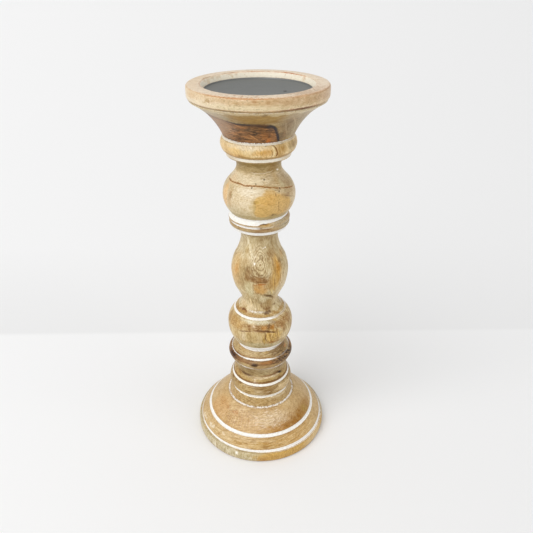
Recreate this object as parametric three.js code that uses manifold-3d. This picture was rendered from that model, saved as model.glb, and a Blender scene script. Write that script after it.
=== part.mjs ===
// Turned wooden holder for a pillar candle, in millimetres with +Z up.
// Nine turned wooden sections stand on each other with tenons and sockets. One
// threaded tie rod runs up the axis and draws them together between two nuts. A
// rim ring is glued round a spigot on the cup, and a sheet-steel pan is pinned to
// the spigot inside it. A felt disc is let into the foot. The origin lies on the
// table under the axis.

import * as THREE from 'three';
import { mergeVertices } from 'three/addons/utils/BufferGeometryUtils.js';
import Module from 'manifold-3d';

const wasm = await Module();
wasm.setup();

// Height and widest radius of each turned section, from the table up
const BASE_HEIGHT = 44;
const BASE_RADIUS = 71.8;
const COLLAR_HEIGHT = 49.2;
const COLLAR_RADIUS = 34;
const DARK_RING_HEIGHT = 19.7;
const DARK_RING_RADIUS = 34.3;
const LOWER_BALL_HEIGHT = 41.5;
const LOWER_BALL_RADIUS = 33.9;
const VASE_HEIGHT = 94.2;
const VASE_RADIUS = 28.7;
const UPPER_RING_HEIGHT = 15.3;
const UPPER_RING_RADIUS = 29.4;
const UPPER_BALL_HEIGHT = 54.7;
const UPPER_BALL_RADIUS = 34.2;
const BEAD_HEIGHT = 18.3;
const BEAD_RADIUS = 34.6;
const CUP_HEIGHT = 33.1;
const CUP_RADIUS = 60.3;
const RIM_HEIGHT = 11;
const RIM_RADIUS = 61.8;

// Turning
const WOOD_SEGMENTS = 32;
const SMALL_SEGMENTS = 24;
const PIN_SEGMENTS = 12;
const GROOVE_WIDTH = 2.6;
const GROOVE_DEPTH = 0.9;

// Tenons, each on the upper end of a section, and the sockets that take them
const FOOT_TENON_RADIUS = 20;
const THICK_TENON_RADIUS = 14;
const SLIM_TENON_RADIUS = 12;
const TENON_LENGTH = 8;
const SHORT_TENON_LENGTH = 6;
const SOCKET_CLEARANCE = 0.3;
const SOCKET_END_GAP = 0.4;

// Tie rod, nuts and washers, size M8
const ROD_RADIUS = 4;
const ROD_CHAMFER = 0.6;
const ROD_END_PROTRUSION = 2.4;
const WOOD_BORE_RADIUS = ROD_RADIUS + 0.6;
const NUT_ACROSS_FLATS = 13;
const NUT_HEIGHT = 6.5;
const NUT_BORE_RADIUS = ROD_RADIUS + 0.3;
const WASHER_RADIUS = 8.4;
const WASHER_BORE_RADIUS = ROD_RADIUS + 0.4;
const WASHER_THICKNESS = 1.6;
const NUT_POCKET_RADIUS = WASHER_RADIUS + 2.6;
const NUT_POCKET_DEPTH = WASHER_THICKNESS + NUT_HEIGHT + ROD_END_PROTRUSION + 1.9;

// Felt disc under the foot, which stands a little proud of the wood
const FELT_RADIUS = 60;
const FELT_THICKNESS = 1.5;
const FELT_PROUD = 0.5;
const FELT_SIDE_CLEARANCE = 0.5;

// Steel pan on the cup's spigot, below the top of the rim ring
const PAN_RADIUS = 46.8;
const PAN_THICKNESS = 0.8;
const PAN_RECESS_DEPTH = 6;
const PAN_LIP_RISE = 1.3;
const PAN_SIDE_CLEARANCE = 0.3;

// Panel pin through the pan
const PIN_POSITION = new THREE.Vector2(22.6, -7.3);
const PIN_HEAD_RADIUS = 1.6;
const PIN_HEAD_THICKNESS = 0.5;
const PIN_SHANK_RADIUS = 0.7;
const PIN_HOLE_RADIUS = PIN_SHANK_RADIUS + 0.4;
const PIN_LENGTH = 14;

const WOOD = {
  tan: 0xc9a777,
  olive: 0xa58f62,
  brown: 0x8a6a45,
  golden: 0xc69a55,
  greyBeige: 0xb9a27c,
  pale: 0xd8c6a2,
  straw: 0xd9bd82,
  sand: 0xcdb487,
};

// A point of a cross-section: its distance from the axis and its height.
function ring(radius, height) {
  return new THREE.Vector2(radius, height);
}

// Rings of one section, from pairs that give a share of its widest radius and a
// share of its height.
function rings(section, shares) {
  return shares.map(([across, up]) => ring(across * section.radius, up * section.height));
}

// A smooth line through a few rings of one section.
function sweep(section, shares, steps) {
  return new THREE.SplineCurve(rings(section, shares)).getPoints(steps);
}

// The side of a turned ball. Its lower and upper halves are half ellipses, and
// all heights are shares of the section's height.
function ball(section, { equator, below, above, from, to, steps }) {
  const start = Math.asin((from - equator) / below);
  const end = Math.asin((to - equator) / above);
  const shares = [];
  for (let step = 0; step <= steps; step += 1) {
    const angle = start + ((end - start) * step) / steps;
    const half = angle < 0 ? below : above;
    shares.push([Math.cos(angle), equator + half * Math.sin(angle)]);
  }
  return rings(section, shares);
}

// A painted groove cut square into the surface, whose tilt from upright is in
// degrees and is positive where the surface leans towards the axis.
function groove(section, share, tilt) {
  const angle = THREE.MathUtils.degToRad(tilt);
  const along = ring(-Math.sin(angle), Math.cos(angle)).multiplyScalar(GROOVE_WIDTH / 2);
  const inward = ring(-Math.cos(angle), -Math.sin(angle)).multiplyScalar(GROOVE_DEPTH);
  const [centre] = rings(section, [share]);
  return [centre.clone().sub(along), centre.clone().add(inward), centre.clone().add(along)];
}

// A solid of revolution about Z from a cross-section that starts and ends on the
// axis, listed upwards along its outside.
function revolve(crossSection, segments) {
  const geometry = new THREE.LatheGeometry(crossSection, segments);
  geometry.rotateX(Math.PI / 2);
  return geometry;
}

// The same for a cross-section that closes on itself round a bore.
function revolveRound(crossSection, segments) {
  return revolve([...crossSection, crossSection[0].clone()], segments);
}

function toManifold(geometry) {
  const bare = geometry.index ? geometry.toNonIndexed() : geometry.clone();
  bare.deleteAttribute('normal');
  bare.deleteAttribute('uv');
  const merged = mergeVertices(bare, 1e-4);
  return new wasm.Manifold(new wasm.Mesh({
    numProp: 3,
    vertProperties: new Float32Array(merged.attributes.position.array),
    triVerts: new Uint32Array(merged.index.array),
  }));
}

function toGeometry(manifold) {
  const mesh = manifold.getMesh();
  const geometry = new THREE.BufferGeometry();
  geometry.setAttribute('position', new THREE.BufferAttribute(new Float32Array(mesh.vertProperties), 3));
  geometry.setIndex(new THREE.BufferAttribute(new Uint32Array(mesh.triVerts), 1));
  geometry.computeVertexNormals();
  return geometry;
}

function subtract(geometry, cutter) {
  return toGeometry(toManifold(geometry).subtract(toManifold(cutter)));
}

// The hole for the panel pin, between two heights.
function pinHole(bottom, top) {
  const hole = new THREE.CylinderGeometry(PIN_HOLE_RADIUS, PIN_HOLE_RADIUS, top - bottom, PIN_SEGMENTS);
  hole.rotateX(Math.PI / 2);
  hole.translate(PIN_POSITION.x, PIN_POSITION.y, (top + bottom) / 2);
  return hole;
}

// The upper end of a section, from its shoulder over its tenon to the bore.
function tenonEnd(section) {
  const top = section.height + section.tenon.length;
  return [
    ring(section.tenon.radius, section.height),
    ring(section.tenon.radius, top),
    ring(WOOD_BORE_RADIUS, top),
  ];
}

// The lower end of a section, from the bore round the socket that takes the
// tenon of the section below to the shoulder.
function socketEnd(section) {
  const ceiling = section.socket.length + SOCKET_END_GAP;
  const radius = section.socket.radius + SOCKET_CLEARANCE;
  return [
    ring(WOOD_BORE_RADIUS, ceiling),
    ring(radius, ceiling),
    ring(radius, 0),
  ];
}

function turnedSection(section, outside) {
  return revolveRound([...socketEnd(section), ...outside, ...tenonEnd(section)], WOOD_SEGMENTS);
}

// Foot: a low cone with two painted grooves and an upright edge. The felt disc
// and the lower nut sit in recesses in its underside.
function makeBase(section) {
  const feltWall = FELT_RADIUS + FELT_SIDE_CLEARANCE;
  return revolveRound([
    ring(WOOD_BORE_RADIUS, lowerPocketCeiling),
    ring(NUT_POCKET_RADIUS, lowerPocketCeiling),
    ring(NUT_POCKET_RADIUS, FELT_THICKNESS),
    ring(feltWall, FELT_THICKNESS),
    ring(feltWall, FELT_PROUD),
    ring(section.radius - 0.6, FELT_PROUD),
    ...rings(section, [[1, 0.045], [1, 0.16], [0.99, 0.223]]),
    ...groove(section, [0.967, 0.27], 50),
    ...groove(section, [0.813, 0.561], 46),
    ...rings(section, [[0.682, 0.773], [0.563, 0.941], [0.51, 0.991], [0.496, 1]]),
    ...tenonEnd(section),
  ], WOOD_SEGMENTS);
}

// Collar: a cove, a rounded band between two painted grooves, and a neck.
function makeCollar(section) {
  return turnedSection(section, [
    ...rings(section, [
      [1.035, 0], [0.994, 0.069], [0.959, 0.146], [0.95, 0.197], [0.915, 0.222], [0.932, 0.262],
    ]),
    ...sweep(section, [[0.976, 0.317], [1, 0.382], [0.985, 0.459], [0.953, 0.512]], 4),
    ...rings(section, [[0.909, 0.539], [0.897, 0.565], [0.794, 0.687], [0.774, 0.701]]),
    ...sweep(section, [[0.75, 0.76], [0.741, 0.829], [0.776, 0.931], [0.894, 0.996]], 5),
    ...rings(section, [[0.912, 1]]),
  ]);
}

// Dark ring: a bead with a painted groove above it, and a slope to the ball.
function makeDarkRing(section) {
  return turnedSection(section, [
    ...rings(section, [[0.915, 0], [0.936, 0.071]]),
    ...sweep(section, [[0.95, 0.132], [1, 0.345], [0.942, 0.558]], 6),
    ...rings(section, [
      [0.895, 0.589], [0.866, 0.645], [0.787, 0.761], [0.717, 0.924], [0.691, 1],
    ]),
  ]);
}

function makeLowerBall(section) {
  return turnedSection(section, [
    ...rings(section, [[0.693, 0]]),
    ...ball(section, { equator: 0.593, below: 0.817, above: 0.658, from: 0.036, to: 0.961, steps: 10 }),
    ...rings(section, [[0.785, 1]]),
  ]);
}

// Vase: a foot cove, a slender body and a neck that flares under the ring.
function makeVase(section) {
  return turnedSection(section, [
    ...rings(section, [[0.913, 0]]),
    ...sweep(section, [
      [0.892, 0.011], [0.753, 0.055], [0.645, 0.138], [0.763, 0.231], [0.92, 0.338], [1, 0.497],
      [0.916, 0.635], [0.739, 0.749], [0.631, 0.872], [0.686, 0.955], [0.857, 0.989],
    ], 17),
    ...rings(section, [[0.906, 1]]),
  ]);
}

// Upper ring: a painted fillet, a bead, a painted groove, an arris and a wide
// painted band under the ball.
function makeUpperRing(section) {
  return turnedSection(section, rings(section, [
    [0.898, 0], [0.915, 0.157], [0.949, 0.222], [0.986, 0.353], [0.983, 0.484], [0.959, 0.556],
    [0.986, 0.627], [1, 0.706], [0.966, 0.824], [0.932, 0.941], [0.922, 1],
  ]));
}

function makeUpperBall(section) {
  return turnedSection(section, [
    ...rings(section, [[0.781, 0]]),
    ...ball(section, { equator: 0.322, below: 0.521, above: 0.486, from: 0.016, to: 0.634, steps: 10 }),
    ...sweep(section, [
      [0.678, 0.7], [0.617, 0.773], [0.602, 0.846], [0.637, 0.934], [0.743, 0.987],
    ], 6),
    ...rings(section, [[0.83, 1]]),
  ]);
}

function makeBead(section) {
  return turnedSection(section, [
    ...rings(section, [[0.835, 0], [0.864, 0.202], [0.896, 0.251]]),
    ...sweep(section, [[0.96, 0.366], [1, 0.601], [0.986, 0.809], [0.951, 0.945]], 6),
    ...rings(section, [[0.931, 1]]),
  ]);
}

// Cup: a flare with a small bead at its edge, and a low spigot that the rim ring
// fits round. The pan sits on the spigot, over the pocket of the upper nut.
function makeCup(section) {
  const seat = section.height + RIM_HEIGHT - PAN_RECESS_DEPTH - PAN_THICKNESS;
  const blank = revolveRound([
    ...socketEnd(section),
    ...rings(section, [[0.529, 0]]),
    ...sweep(section, [
      [0.539, 0.051], [0.577, 0.19], [0.635, 0.363], [0.716, 0.55], [0.816, 0.728], [0.922, 0.87],
      [0.985, 0.937],
    ], 10),
    ...rings(section, [[1, 0.973], [0.993, 1]]),
    ring(PAN_RADIUS, section.height),
    ring(PAN_RADIUS, seat),
    ring(NUT_POCKET_RADIUS, seat),
    ring(NUT_POCKET_RADIUS, seat - NUT_POCKET_DEPTH),
    ring(WOOD_BORE_RADIUS, seat - NUT_POCKET_DEPTH),
  ], WOOD_SEGMENTS);
  return subtract(blank, pinHole(seat - PIN_LENGTH, seat + 1));
}

// Rim ring: an upright band, a flat top and a wall that slopes in to the pan.
function makeRimRing(section) {
  const wall = PAN_RADIUS + PAN_SIDE_CLEARANCE;
  const lipTop = section.height - PAN_RECESS_DEPTH + PAN_LIP_RISE;
  return revolveRound([
    ring(wall, 0),
    ...rings(section, [
      [0.969, 0], [0.997, 0.055], [1, 0.182], [1, 0.855], [0.99, 0.964], [0.971, 1],
    ]),
    ring(wall + 2.7, section.height),
    ring(wall + 1.8, section.height - 0.7),
    ring(wall + 0.3, lipTop + 0.9),
    ring(wall, lipTop + 0.1),
  ], WOOD_SEGMENTS);
}

// Pan: a thin steel dish with a small upturned lip. Height 0 is its floor.
function makePan() {
  const dish = revolve([
    ring(0, -PAN_THICKNESS),
    ring(PAN_RADIUS - PAN_THICKNESS, -PAN_THICKNESS),
    ring(PAN_RADIUS, 0),
    ring(PAN_RADIUS, PAN_LIP_RISE),
    ring(PAN_RADIUS - 0.7, PAN_LIP_RISE),
    ring(PAN_RADIUS - 1.0, PAN_LIP_RISE * 0.3),
    ring(PAN_RADIUS - 1.6, 0),
    ring(0, 0),
  ], WOOD_SEGMENTS);
  return subtract(dish, pinHole(-PAN_THICKNESS - 1, 1));
}

// Panel pin: height 0 is the underside of its head.
function makePanelPin() {
  const geometry = revolve([
    ring(0, -PIN_LENGTH),
    ring(PIN_SHANK_RADIUS, -PIN_LENGTH + 2),
    ring(PIN_SHANK_RADIUS, 0),
    ring(PIN_HEAD_RADIUS, 0),
    ring(PIN_HEAD_RADIUS, PIN_HEAD_THICKNESS * 0.6),
    ring(PIN_HEAD_RADIUS * 0.6, PIN_HEAD_THICKNESS),
    ring(0, PIN_HEAD_THICKNESS),
  ], PIN_SEGMENTS);
  geometry.translate(PIN_POSITION.x, PIN_POSITION.y, 0);
  return geometry;
}

function makeTieRod(length) {
  return revolve([
    ring(0, 0),
    ring(ROD_RADIUS - ROD_CHAMFER, 0),
    ring(ROD_RADIUS, ROD_CHAMFER),
    ring(ROD_RADIUS, length - ROD_CHAMFER),
    ring(ROD_RADIUS - ROD_CHAMFER, length),
    ring(0, length),
  ], SMALL_SEGMENTS);
}

function makeWasher() {
  return revolveRound([
    ring(WASHER_BORE_RADIUS, 0),
    ring(WASHER_RADIUS, 0),
    ring(WASHER_RADIUS, WASHER_THICKNESS),
    ring(WASHER_BORE_RADIUS, WASHER_THICKNESS),
  ], SMALL_SEGMENTS);
}

function makeNut() {
  const cornerRadius = NUT_ACROSS_FLATS / Math.sqrt(3);
  const outline = new THREE.Shape();
  for (let corner = 0; corner < 6; corner += 1) {
    const angle = (corner * Math.PI) / 3;
    const x = cornerRadius * Math.cos(angle);
    const y = cornerRadius * Math.sin(angle);
    if (corner === 0) outline.moveTo(x, y);
    else outline.lineTo(x, y);
  }
  outline.closePath();
  const bore = new THREE.Path();
  bore.absarc(0, 0, NUT_BORE_RADIUS, 0, Math.PI * 2, true);
  outline.holes.push(bore);
  return new THREE.ExtrudeGeometry(outline, {
    depth: NUT_HEIGHT, bevelEnabled: false, curveSegments: SMALL_SEGMENTS,
  });
}

function makeFeltDisc() {
  return revolve([
    ring(0, 0),
    ring(FELT_RADIUS, 0),
    ring(FELT_RADIUS, FELT_THICKNESS),
    ring(0, FELT_THICKNESS),
  ], WOOD_SEGMENTS);
}

// A named mesh whose own height 0 is set at the given height of the holder.
function piece(name, geometry, height, color, roughness, metalness = 0) {
  const material = new THREE.MeshStandardMaterial({ color, roughness, metalness });
  const mesh = new THREE.Mesh(geometry, material);
  mesh.name = name;
  mesh.position.z = height;
  return mesh;
}

const footTenon = { radius: FOOT_TENON_RADIUS, length: TENON_LENGTH };
const thickTenon = { radius: THICK_TENON_RADIUS, length: TENON_LENGTH };
const slimTenon = { radius: SLIM_TENON_RADIUS, length: TENON_LENGTH };
const shortTenon = { radius: SLIM_TENON_RADIUS, length: SHORT_TENON_LENGTH };

const sections = [
  { name: 'base', make: makeBase, height: BASE_HEIGHT, radius: BASE_RADIUS,
    tenon: footTenon, color: WOOD.tan },
  { name: 'collar', make: makeCollar, height: COLLAR_HEIGHT, radius: COLLAR_RADIUS,
    socket: footTenon, tenon: thickTenon, color: WOOD.olive },
  { name: 'dark_ring', make: makeDarkRing, height: DARK_RING_HEIGHT, radius: DARK_RING_RADIUS,
    socket: thickTenon, tenon: thickTenon, color: WOOD.brown },
  { name: 'lower_ball', make: makeLowerBall, height: LOWER_BALL_HEIGHT, radius: LOWER_BALL_RADIUS,
    socket: thickTenon, tenon: slimTenon, color: WOOD.golden },
  { name: 'vase_section', make: makeVase, height: VASE_HEIGHT, radius: VASE_RADIUS,
    socket: slimTenon, tenon: shortTenon, color: WOOD.greyBeige },
  { name: 'upper_ring', make: makeUpperRing, height: UPPER_RING_HEIGHT, radius: UPPER_RING_RADIUS,
    socket: shortTenon, tenon: slimTenon, color: WOOD.brown },
  { name: 'upper_ball', make: makeUpperBall, height: UPPER_BALL_HEIGHT, radius: UPPER_BALL_RADIUS,
    socket: slimTenon, tenon: slimTenon, color: WOOD.pale },
  { name: 'neck_bead', make: makeBead, height: BEAD_HEIGHT, radius: BEAD_RADIUS,
    socket: slimTenon, tenon: slimTenon, color: WOOD.straw },
  { name: 'cup', make: makeCup, height: CUP_HEIGHT, radius: CUP_RADIUS,
    socket: slimTenon, color: WOOD.sand },
  { name: 'rim_ring', make: makeRimRing, height: RIM_HEIGHT, radius: RIM_RADIUS,
    color: WOOD.pale },
];

// Places along the axis that follow from the stack
const totalHeight = sections.reduce((sum, section) => sum + section.height, 0);
const panFloor = totalHeight - PAN_RECESS_DEPTH;
const lowerPocketCeiling = FELT_THICKNESS + NUT_POCKET_DEPTH;
const lowerWasherBottom = lowerPocketCeiling - WASHER_THICKNESS;
const lowerNutBottom = lowerWasherBottom - NUT_HEIGHT;
const upperWasherBottom = panFloor - PAN_THICKNESS - NUT_POCKET_DEPTH;
const upperNutBottom = upperWasherBottom + WASHER_THICKNESS;
const rodBottom = lowerNutBottom - ROD_END_PROTRUSION;
const rodTop = upperNutBottom + NUT_HEIGHT + ROD_END_PROTRUSION;

const stem = new THREE.Group();
let shoulder = 0;
for (const section of sections) {
  stem.add(piece(section.name, section.make(section), shoulder, section.color, 0.42));
  shoulder += section.height;
}

const fittings = new THREE.Group();
fittings.add(
  piece('pan', makePan(), panFloor, 0x777b7c, 0.45, 0.8),
  piece('panel_pin', makePanelPin(), panFloor, 0x4a4b4c, 0.5, 0.9),
  piece('tie_rod', makeTieRod(rodTop - rodBottom), rodBottom, 0xa9abad, 0.4, 1),
  piece('lower_washer', makeWasher(), lowerWasherBottom, 0xb4b6b8, 0.35, 1),
  piece('lower_nut', makeNut(), lowerNutBottom, 0xaeb0b2, 0.35, 1),
  piece('upper_washer', makeWasher(), upperWasherBottom, 0xb4b6b8, 0.35, 1),
  piece('upper_nut', makeNut(), upperNutBottom, 0xaeb0b2, 0.35, 1),
  piece('felt_disc', makeFeltDisc(), 0, 0x2f3a33, 0.95),
);

const group = new THREE.Group();
group.add(stem, fittings);

export default group;
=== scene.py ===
"""Dresses the turned candle holder and sets up its studio, for Blender 4.5.

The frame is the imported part's: metres, Z up along the turned axis, the viewer
on the -Y side. Outlines and marks in the wood are written in millimetres. An
angle round the holder is in degrees, 0 at the front and growing to the right.
"""

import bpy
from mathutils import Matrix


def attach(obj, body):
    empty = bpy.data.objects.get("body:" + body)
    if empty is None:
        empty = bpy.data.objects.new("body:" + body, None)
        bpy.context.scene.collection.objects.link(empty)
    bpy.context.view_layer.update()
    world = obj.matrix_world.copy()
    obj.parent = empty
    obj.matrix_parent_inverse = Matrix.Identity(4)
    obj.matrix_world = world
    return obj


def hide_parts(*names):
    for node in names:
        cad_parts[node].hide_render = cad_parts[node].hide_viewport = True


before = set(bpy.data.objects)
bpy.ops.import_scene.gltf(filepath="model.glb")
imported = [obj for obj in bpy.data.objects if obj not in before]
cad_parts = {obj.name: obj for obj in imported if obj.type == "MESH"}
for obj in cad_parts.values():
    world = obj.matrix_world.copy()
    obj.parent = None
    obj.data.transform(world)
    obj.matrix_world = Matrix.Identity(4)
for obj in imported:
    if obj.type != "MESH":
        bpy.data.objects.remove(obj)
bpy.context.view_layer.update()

import logging
import math
from collections.abc import Mapping, Sequence
from dataclasses import dataclass
from enum import Enum

import bpy
from mathutils import Matrix, Vector

LOG = logging.getLogger("candle_holder")
MM = 0.001
BODY = "root"

Place = tuple[float, float]
Colour = tuple[float, float, float]
Edge = float | tuple[Place, ...]

# A patch that only takes paint away has no colour of its own.
BARE: Colour = (0, 0, 0)
# How far the fine irregularity of a mark's edge reaches.
FINE_REACH = 0.6

# Heights of the joints between the turned sections, and of the rim.
FOOT_TOP = 44.0
COLLAR_TOP = 93.2
DARK_RING_TOP = 112.9
LOWER_BALL_TOP = 154.4
VASE_TOP = 248.6
UPPER_RING_TOP = 263.9
UPPER_BALL_TOP = 318.6
NECK_BEAD_TOP = 336.9
CUP_TOP = 370.0
RIM_TOP = 381.0

# Sizes that two pieces share.
FELT_TOP = 1.5
NUT_POCKET_RADIUS = 11.0
PAN_UNDERSIDE = 374.2
PAN_FLOOR = 375.0
PAN_LIP_TOP = 376.3
PIN_PLACE: Place = (22.6, -7.3)

# Edges at least this sharp are softened.
SHARP_EDGE = math.radians(32)
# Faces that meet at less than this angle shade as one.
SMOOTH_EDGE = math.radians(38)
# Points nearer than these, in metres, are joined in an outline and in a turned piece.
OUTLINE_MERGE = 1e-7
PIECE_MERGE = 1e-6


def linear(colour: Colour) -> tuple[float, float, float, float]:
    """Turn a colour in sRGB steps of 0 to 255 into linear light.

    Args:
        colour: Red, green and blue from 0 to 255.

    Returns:
        The linear colour with full alpha.
    """
    shares = (channel / 255 for channel in colour)
    light = [share / 12.92 if share <= 0.04045 else ((share + 0.055) / 1.055) ** 2.4 for share in shares]
    return (light[0], light[1], light[2], 1.0)


class Fibre(Enum):
    """Which way the fibres of the wood run in a section."""

    UPRIGHT = "upright"
    ACROSS = "across"


class Surface(Enum):
    """What the second number of a mark's place measures."""

    SIDE = "height"
    TOP = "radius"


class Wire:
    """An output of a shader node that takes plain arithmetic."""

    def __init__(self, graph: "Graph", socket: bpy.types.NodeSocket) -> None:
        """Keep the graph and the socket."""
        self.graph = graph
        self.socket = socket

    def __add__(self, other: "Input") -> "Wire":
        """Add two values."""
        return self.graph.math("ADD", self, other)

    def __sub__(self, other: "Input") -> "Wire":
        """Take the other value away."""
        return self.graph.math("SUBTRACT", self, other)

    def __mul__(self, other: "Input") -> "Wire":
        """Multiply two values."""
        return self.graph.math("MULTIPLY", self, other)

    def __truediv__(self, other: "Input") -> "Wire":
        """Divide by the other value."""
        return self.graph.math("DIVIDE", self, other)


Input = Wire | float | Sequence[float]


class Graph:
    """Builds the nodes of one material."""

    def __init__(self, name: str) -> None:
        """Start an empty material.

        Args:
            name: Name of the new material.
        """
        self.material = bpy.data.materials.new(name)
        self.material.use_nodes = True
        self.tree = self.material.node_tree
        self.tree.nodes.clear()

    def add(
        self, kind: str, inputs: Mapping[str | int, Input] | None = None, **settings: object,
    ) -> bpy.types.Node:
        """Add a node.

        Args:
            kind: Type of the node without its ShaderNode prefix.
            inputs: Values or wires by socket name or number.
            **settings: Properties of the node.

        Returns:
            The node.
        """
        node = self.tree.nodes.new("ShaderNode" + kind)
        for key, value in settings.items():
            setattr(node, key, value)
        for key, value in (inputs or {}).items():
            if isinstance(value, Wire):
                self.tree.links.new(value.socket, node.inputs[key])
            else:
                node.inputs[key].default_value = value
        return node

    def wire(self, node: bpy.types.Node, output: str | int = 0) -> Wire:
        """Return one output of a node as a wire."""
        return Wire(self, node.outputs[output])

    def math(self, operation: str, *values: Input) -> Wire:
        """Work out one step of arithmetic on numbers."""
        return self.wire(self.add("Math", dict(enumerate(values)), operation=operation))

    def vector(self, operation: str, *values: Input) -> Wire:
        """Work out one step of arithmetic on vectors."""
        return self.wire(self.add("VectorMath", dict(enumerate(values)), operation=operation))

    def join(self, x: Input, y: Input, z: Input = 0.0) -> Wire:
        """Join three numbers into a vector."""
        return self.wire(self.add("CombineXYZ", {0: x, 1: y, 2: z}))

    def length(self, place: Wire) -> Wire:
        """Return the distance of a place from the middle."""
        return self.wire(self.add("VectorMath", {0: place}, operation="LENGTH"), "Value")

    def object_place(self) -> Wire:
        """Return the place on the piece in millimetres."""
        coordinates = self.add("TexCoord")
        return self.vector("MULTIPLY", self.wire(coordinates, "Object"), (1000, 1000, 1000))

    def stretch(self, place: Wire, scale: Sequence[float], turn: Sequence[float] = (0, 0, 0)) -> Wire:
        """Turn a place by degrees about each axis, and then scale it along each axis."""
        turned = self.add("Mapping", {"Vector": place, "Rotation": [math.radians(angle) for angle in turn]})
        return self.vector("MULTIPLY", self.wire(turned), scale)

    def tilted(self, place: Wire, tilt: float) -> Wire:
        """Return a flat place along and across a direction that rises by the tilt in degrees."""
        cosine, sine = math.cos(math.radians(tilt)), math.sin(math.radians(tilt))
        along = self.add("VectorMath", {0: place, 1: (cosine, sine, 0.0)}, operation="DOT_PRODUCT")
        across = self.add("VectorMath", {0: place, 1: (-sine, cosine, 0.0)}, operation="DOT_PRODUCT")
        return self.join(self.wire(along, "Value"), self.wire(across, "Value"))

    def span(self, value: Wire, start: Input, end: Input, low: Input = 0.0, high: Input = 1.0) -> Wire:
        """Map the range from start to end evenly to the range from low to high."""
        inputs = {"Value": value, "From Min": start, "From Max": end, "To Min": low, "To Max": high}
        return self.wire(self.add("MapRange", inputs))

    def smooth(self, value: Wire, start: Input, end: Input) -> Wire:
        """Rise smoothly from 0 at the start to 1 at the end, which may lie lower than the start."""
        inputs = {"Value": value, "From Min": start, "From Max": end}
        return self.wire(self.add("MapRange", inputs, interpolation_type="SMOOTHSTEP"))

    def noise(self, place: Wire, grain: float, detail: float = 2.0, rough: float = 0.5) -> Wire:
        """Return soft random values from 0 to 1.

        Args:
            place: Where the noise is read, in millimetres.
            grain: Size of one blot in millimetres.
            detail: Number of finer layers.
            rough: Strength of the finer layers.

        Returns:
            The values.
        """
        inputs = {"Vector": place, "Scale": 1 / grain, "Detail": detail, "Roughness": rough}
        return self.wire(self.add("TexNoise", inputs), "Fac")

    def drift(self, place: Wire, grain: float, reach: float) -> Wire:
        """Return a random shift of up to the given reach along the first two axes, in millimetres."""
        node = self.add("TexNoise", {"Vector": place, "Scale": 1 / grain, "Detail": 2.0})
        centred = self.vector("SUBTRACT", self.wire(node, "Color"), (0.5, 0.5, 0.5))
        return self.vector("MULTIPLY", centred, (reach * 2, reach * 2, 0.0))

    def ramp(self, value: Wire, stops: Sequence[tuple[float, Colour]]) -> Wire:
        """Colour a value from a few stops.

        Args:
            value: Number from 0 to 1.
            stops: Positions with their colours.

        Returns:
            The colour.
        """
        node = self.add("ValToRGB", {"Fac": value})
        elements = node.color_ramp.elements
        for index, (position, colour) in enumerate(stops):
            element = elements[index] if index < len(elements) else elements.new(position)
            element.position = position
            element.color = linear(colour)
        return self.wire(node)

    def blend(self, share: Input, first: Input, second: Input, kind: str = "MIX") -> Wire:
        """Lay the second colour over the first by a share."""
        node = self.add("Mix", {0: share, 6: first, 7: second}, data_type="RGBA", blend_type=kind)
        return self.wire(node, 2)

    def line(self, value: Wire, places: Sequence[Place]) -> Wire:
        """Follow a smooth line through places.

        Args:
            value: Number along the line's first axis.
            places: Pairs of first and second axis, in rising order.

        Returns:
            The number along the second axis.
        """
        start, end = places[0][0], places[-1][0]
        low = min(place[1] for place in places) - 1.0
        high = max(place[1] for place in places) + 1.0
        node = self.add("FloatCurve", {"Value": self.span(value, start, end)})
        curve = node.mapping.curves[0]
        for index, (along, across) in enumerate(places):
            spot = ((along - start) / (end - start), (across - low) / (high - low))
            if index in (0, len(places) - 1):
                curve.points[0 if index == 0 else -1].location = spot
            else:
                curve.points.new(*spot)
        node.mapping.update()
        return self.span(self.wire(node), 0.0, 1.0, low, high)

    def finish(self, **inputs: Input) -> bpy.types.Material:
        """Close the material with a principled shader.

        Args:
            **inputs: Values or wires by socket name, with underscores for blanks.

        Returns:
            The material.
        """
        sockets = {name.replace("_", " "): value for name, value in inputs.items()}
        shader = self.add("BsdfPrincipled", sockets)
        output = self.add("OutputMaterial")
        self.tree.links.new(shader.outputs[0], output.inputs["Surface"])
        return self.material


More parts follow.
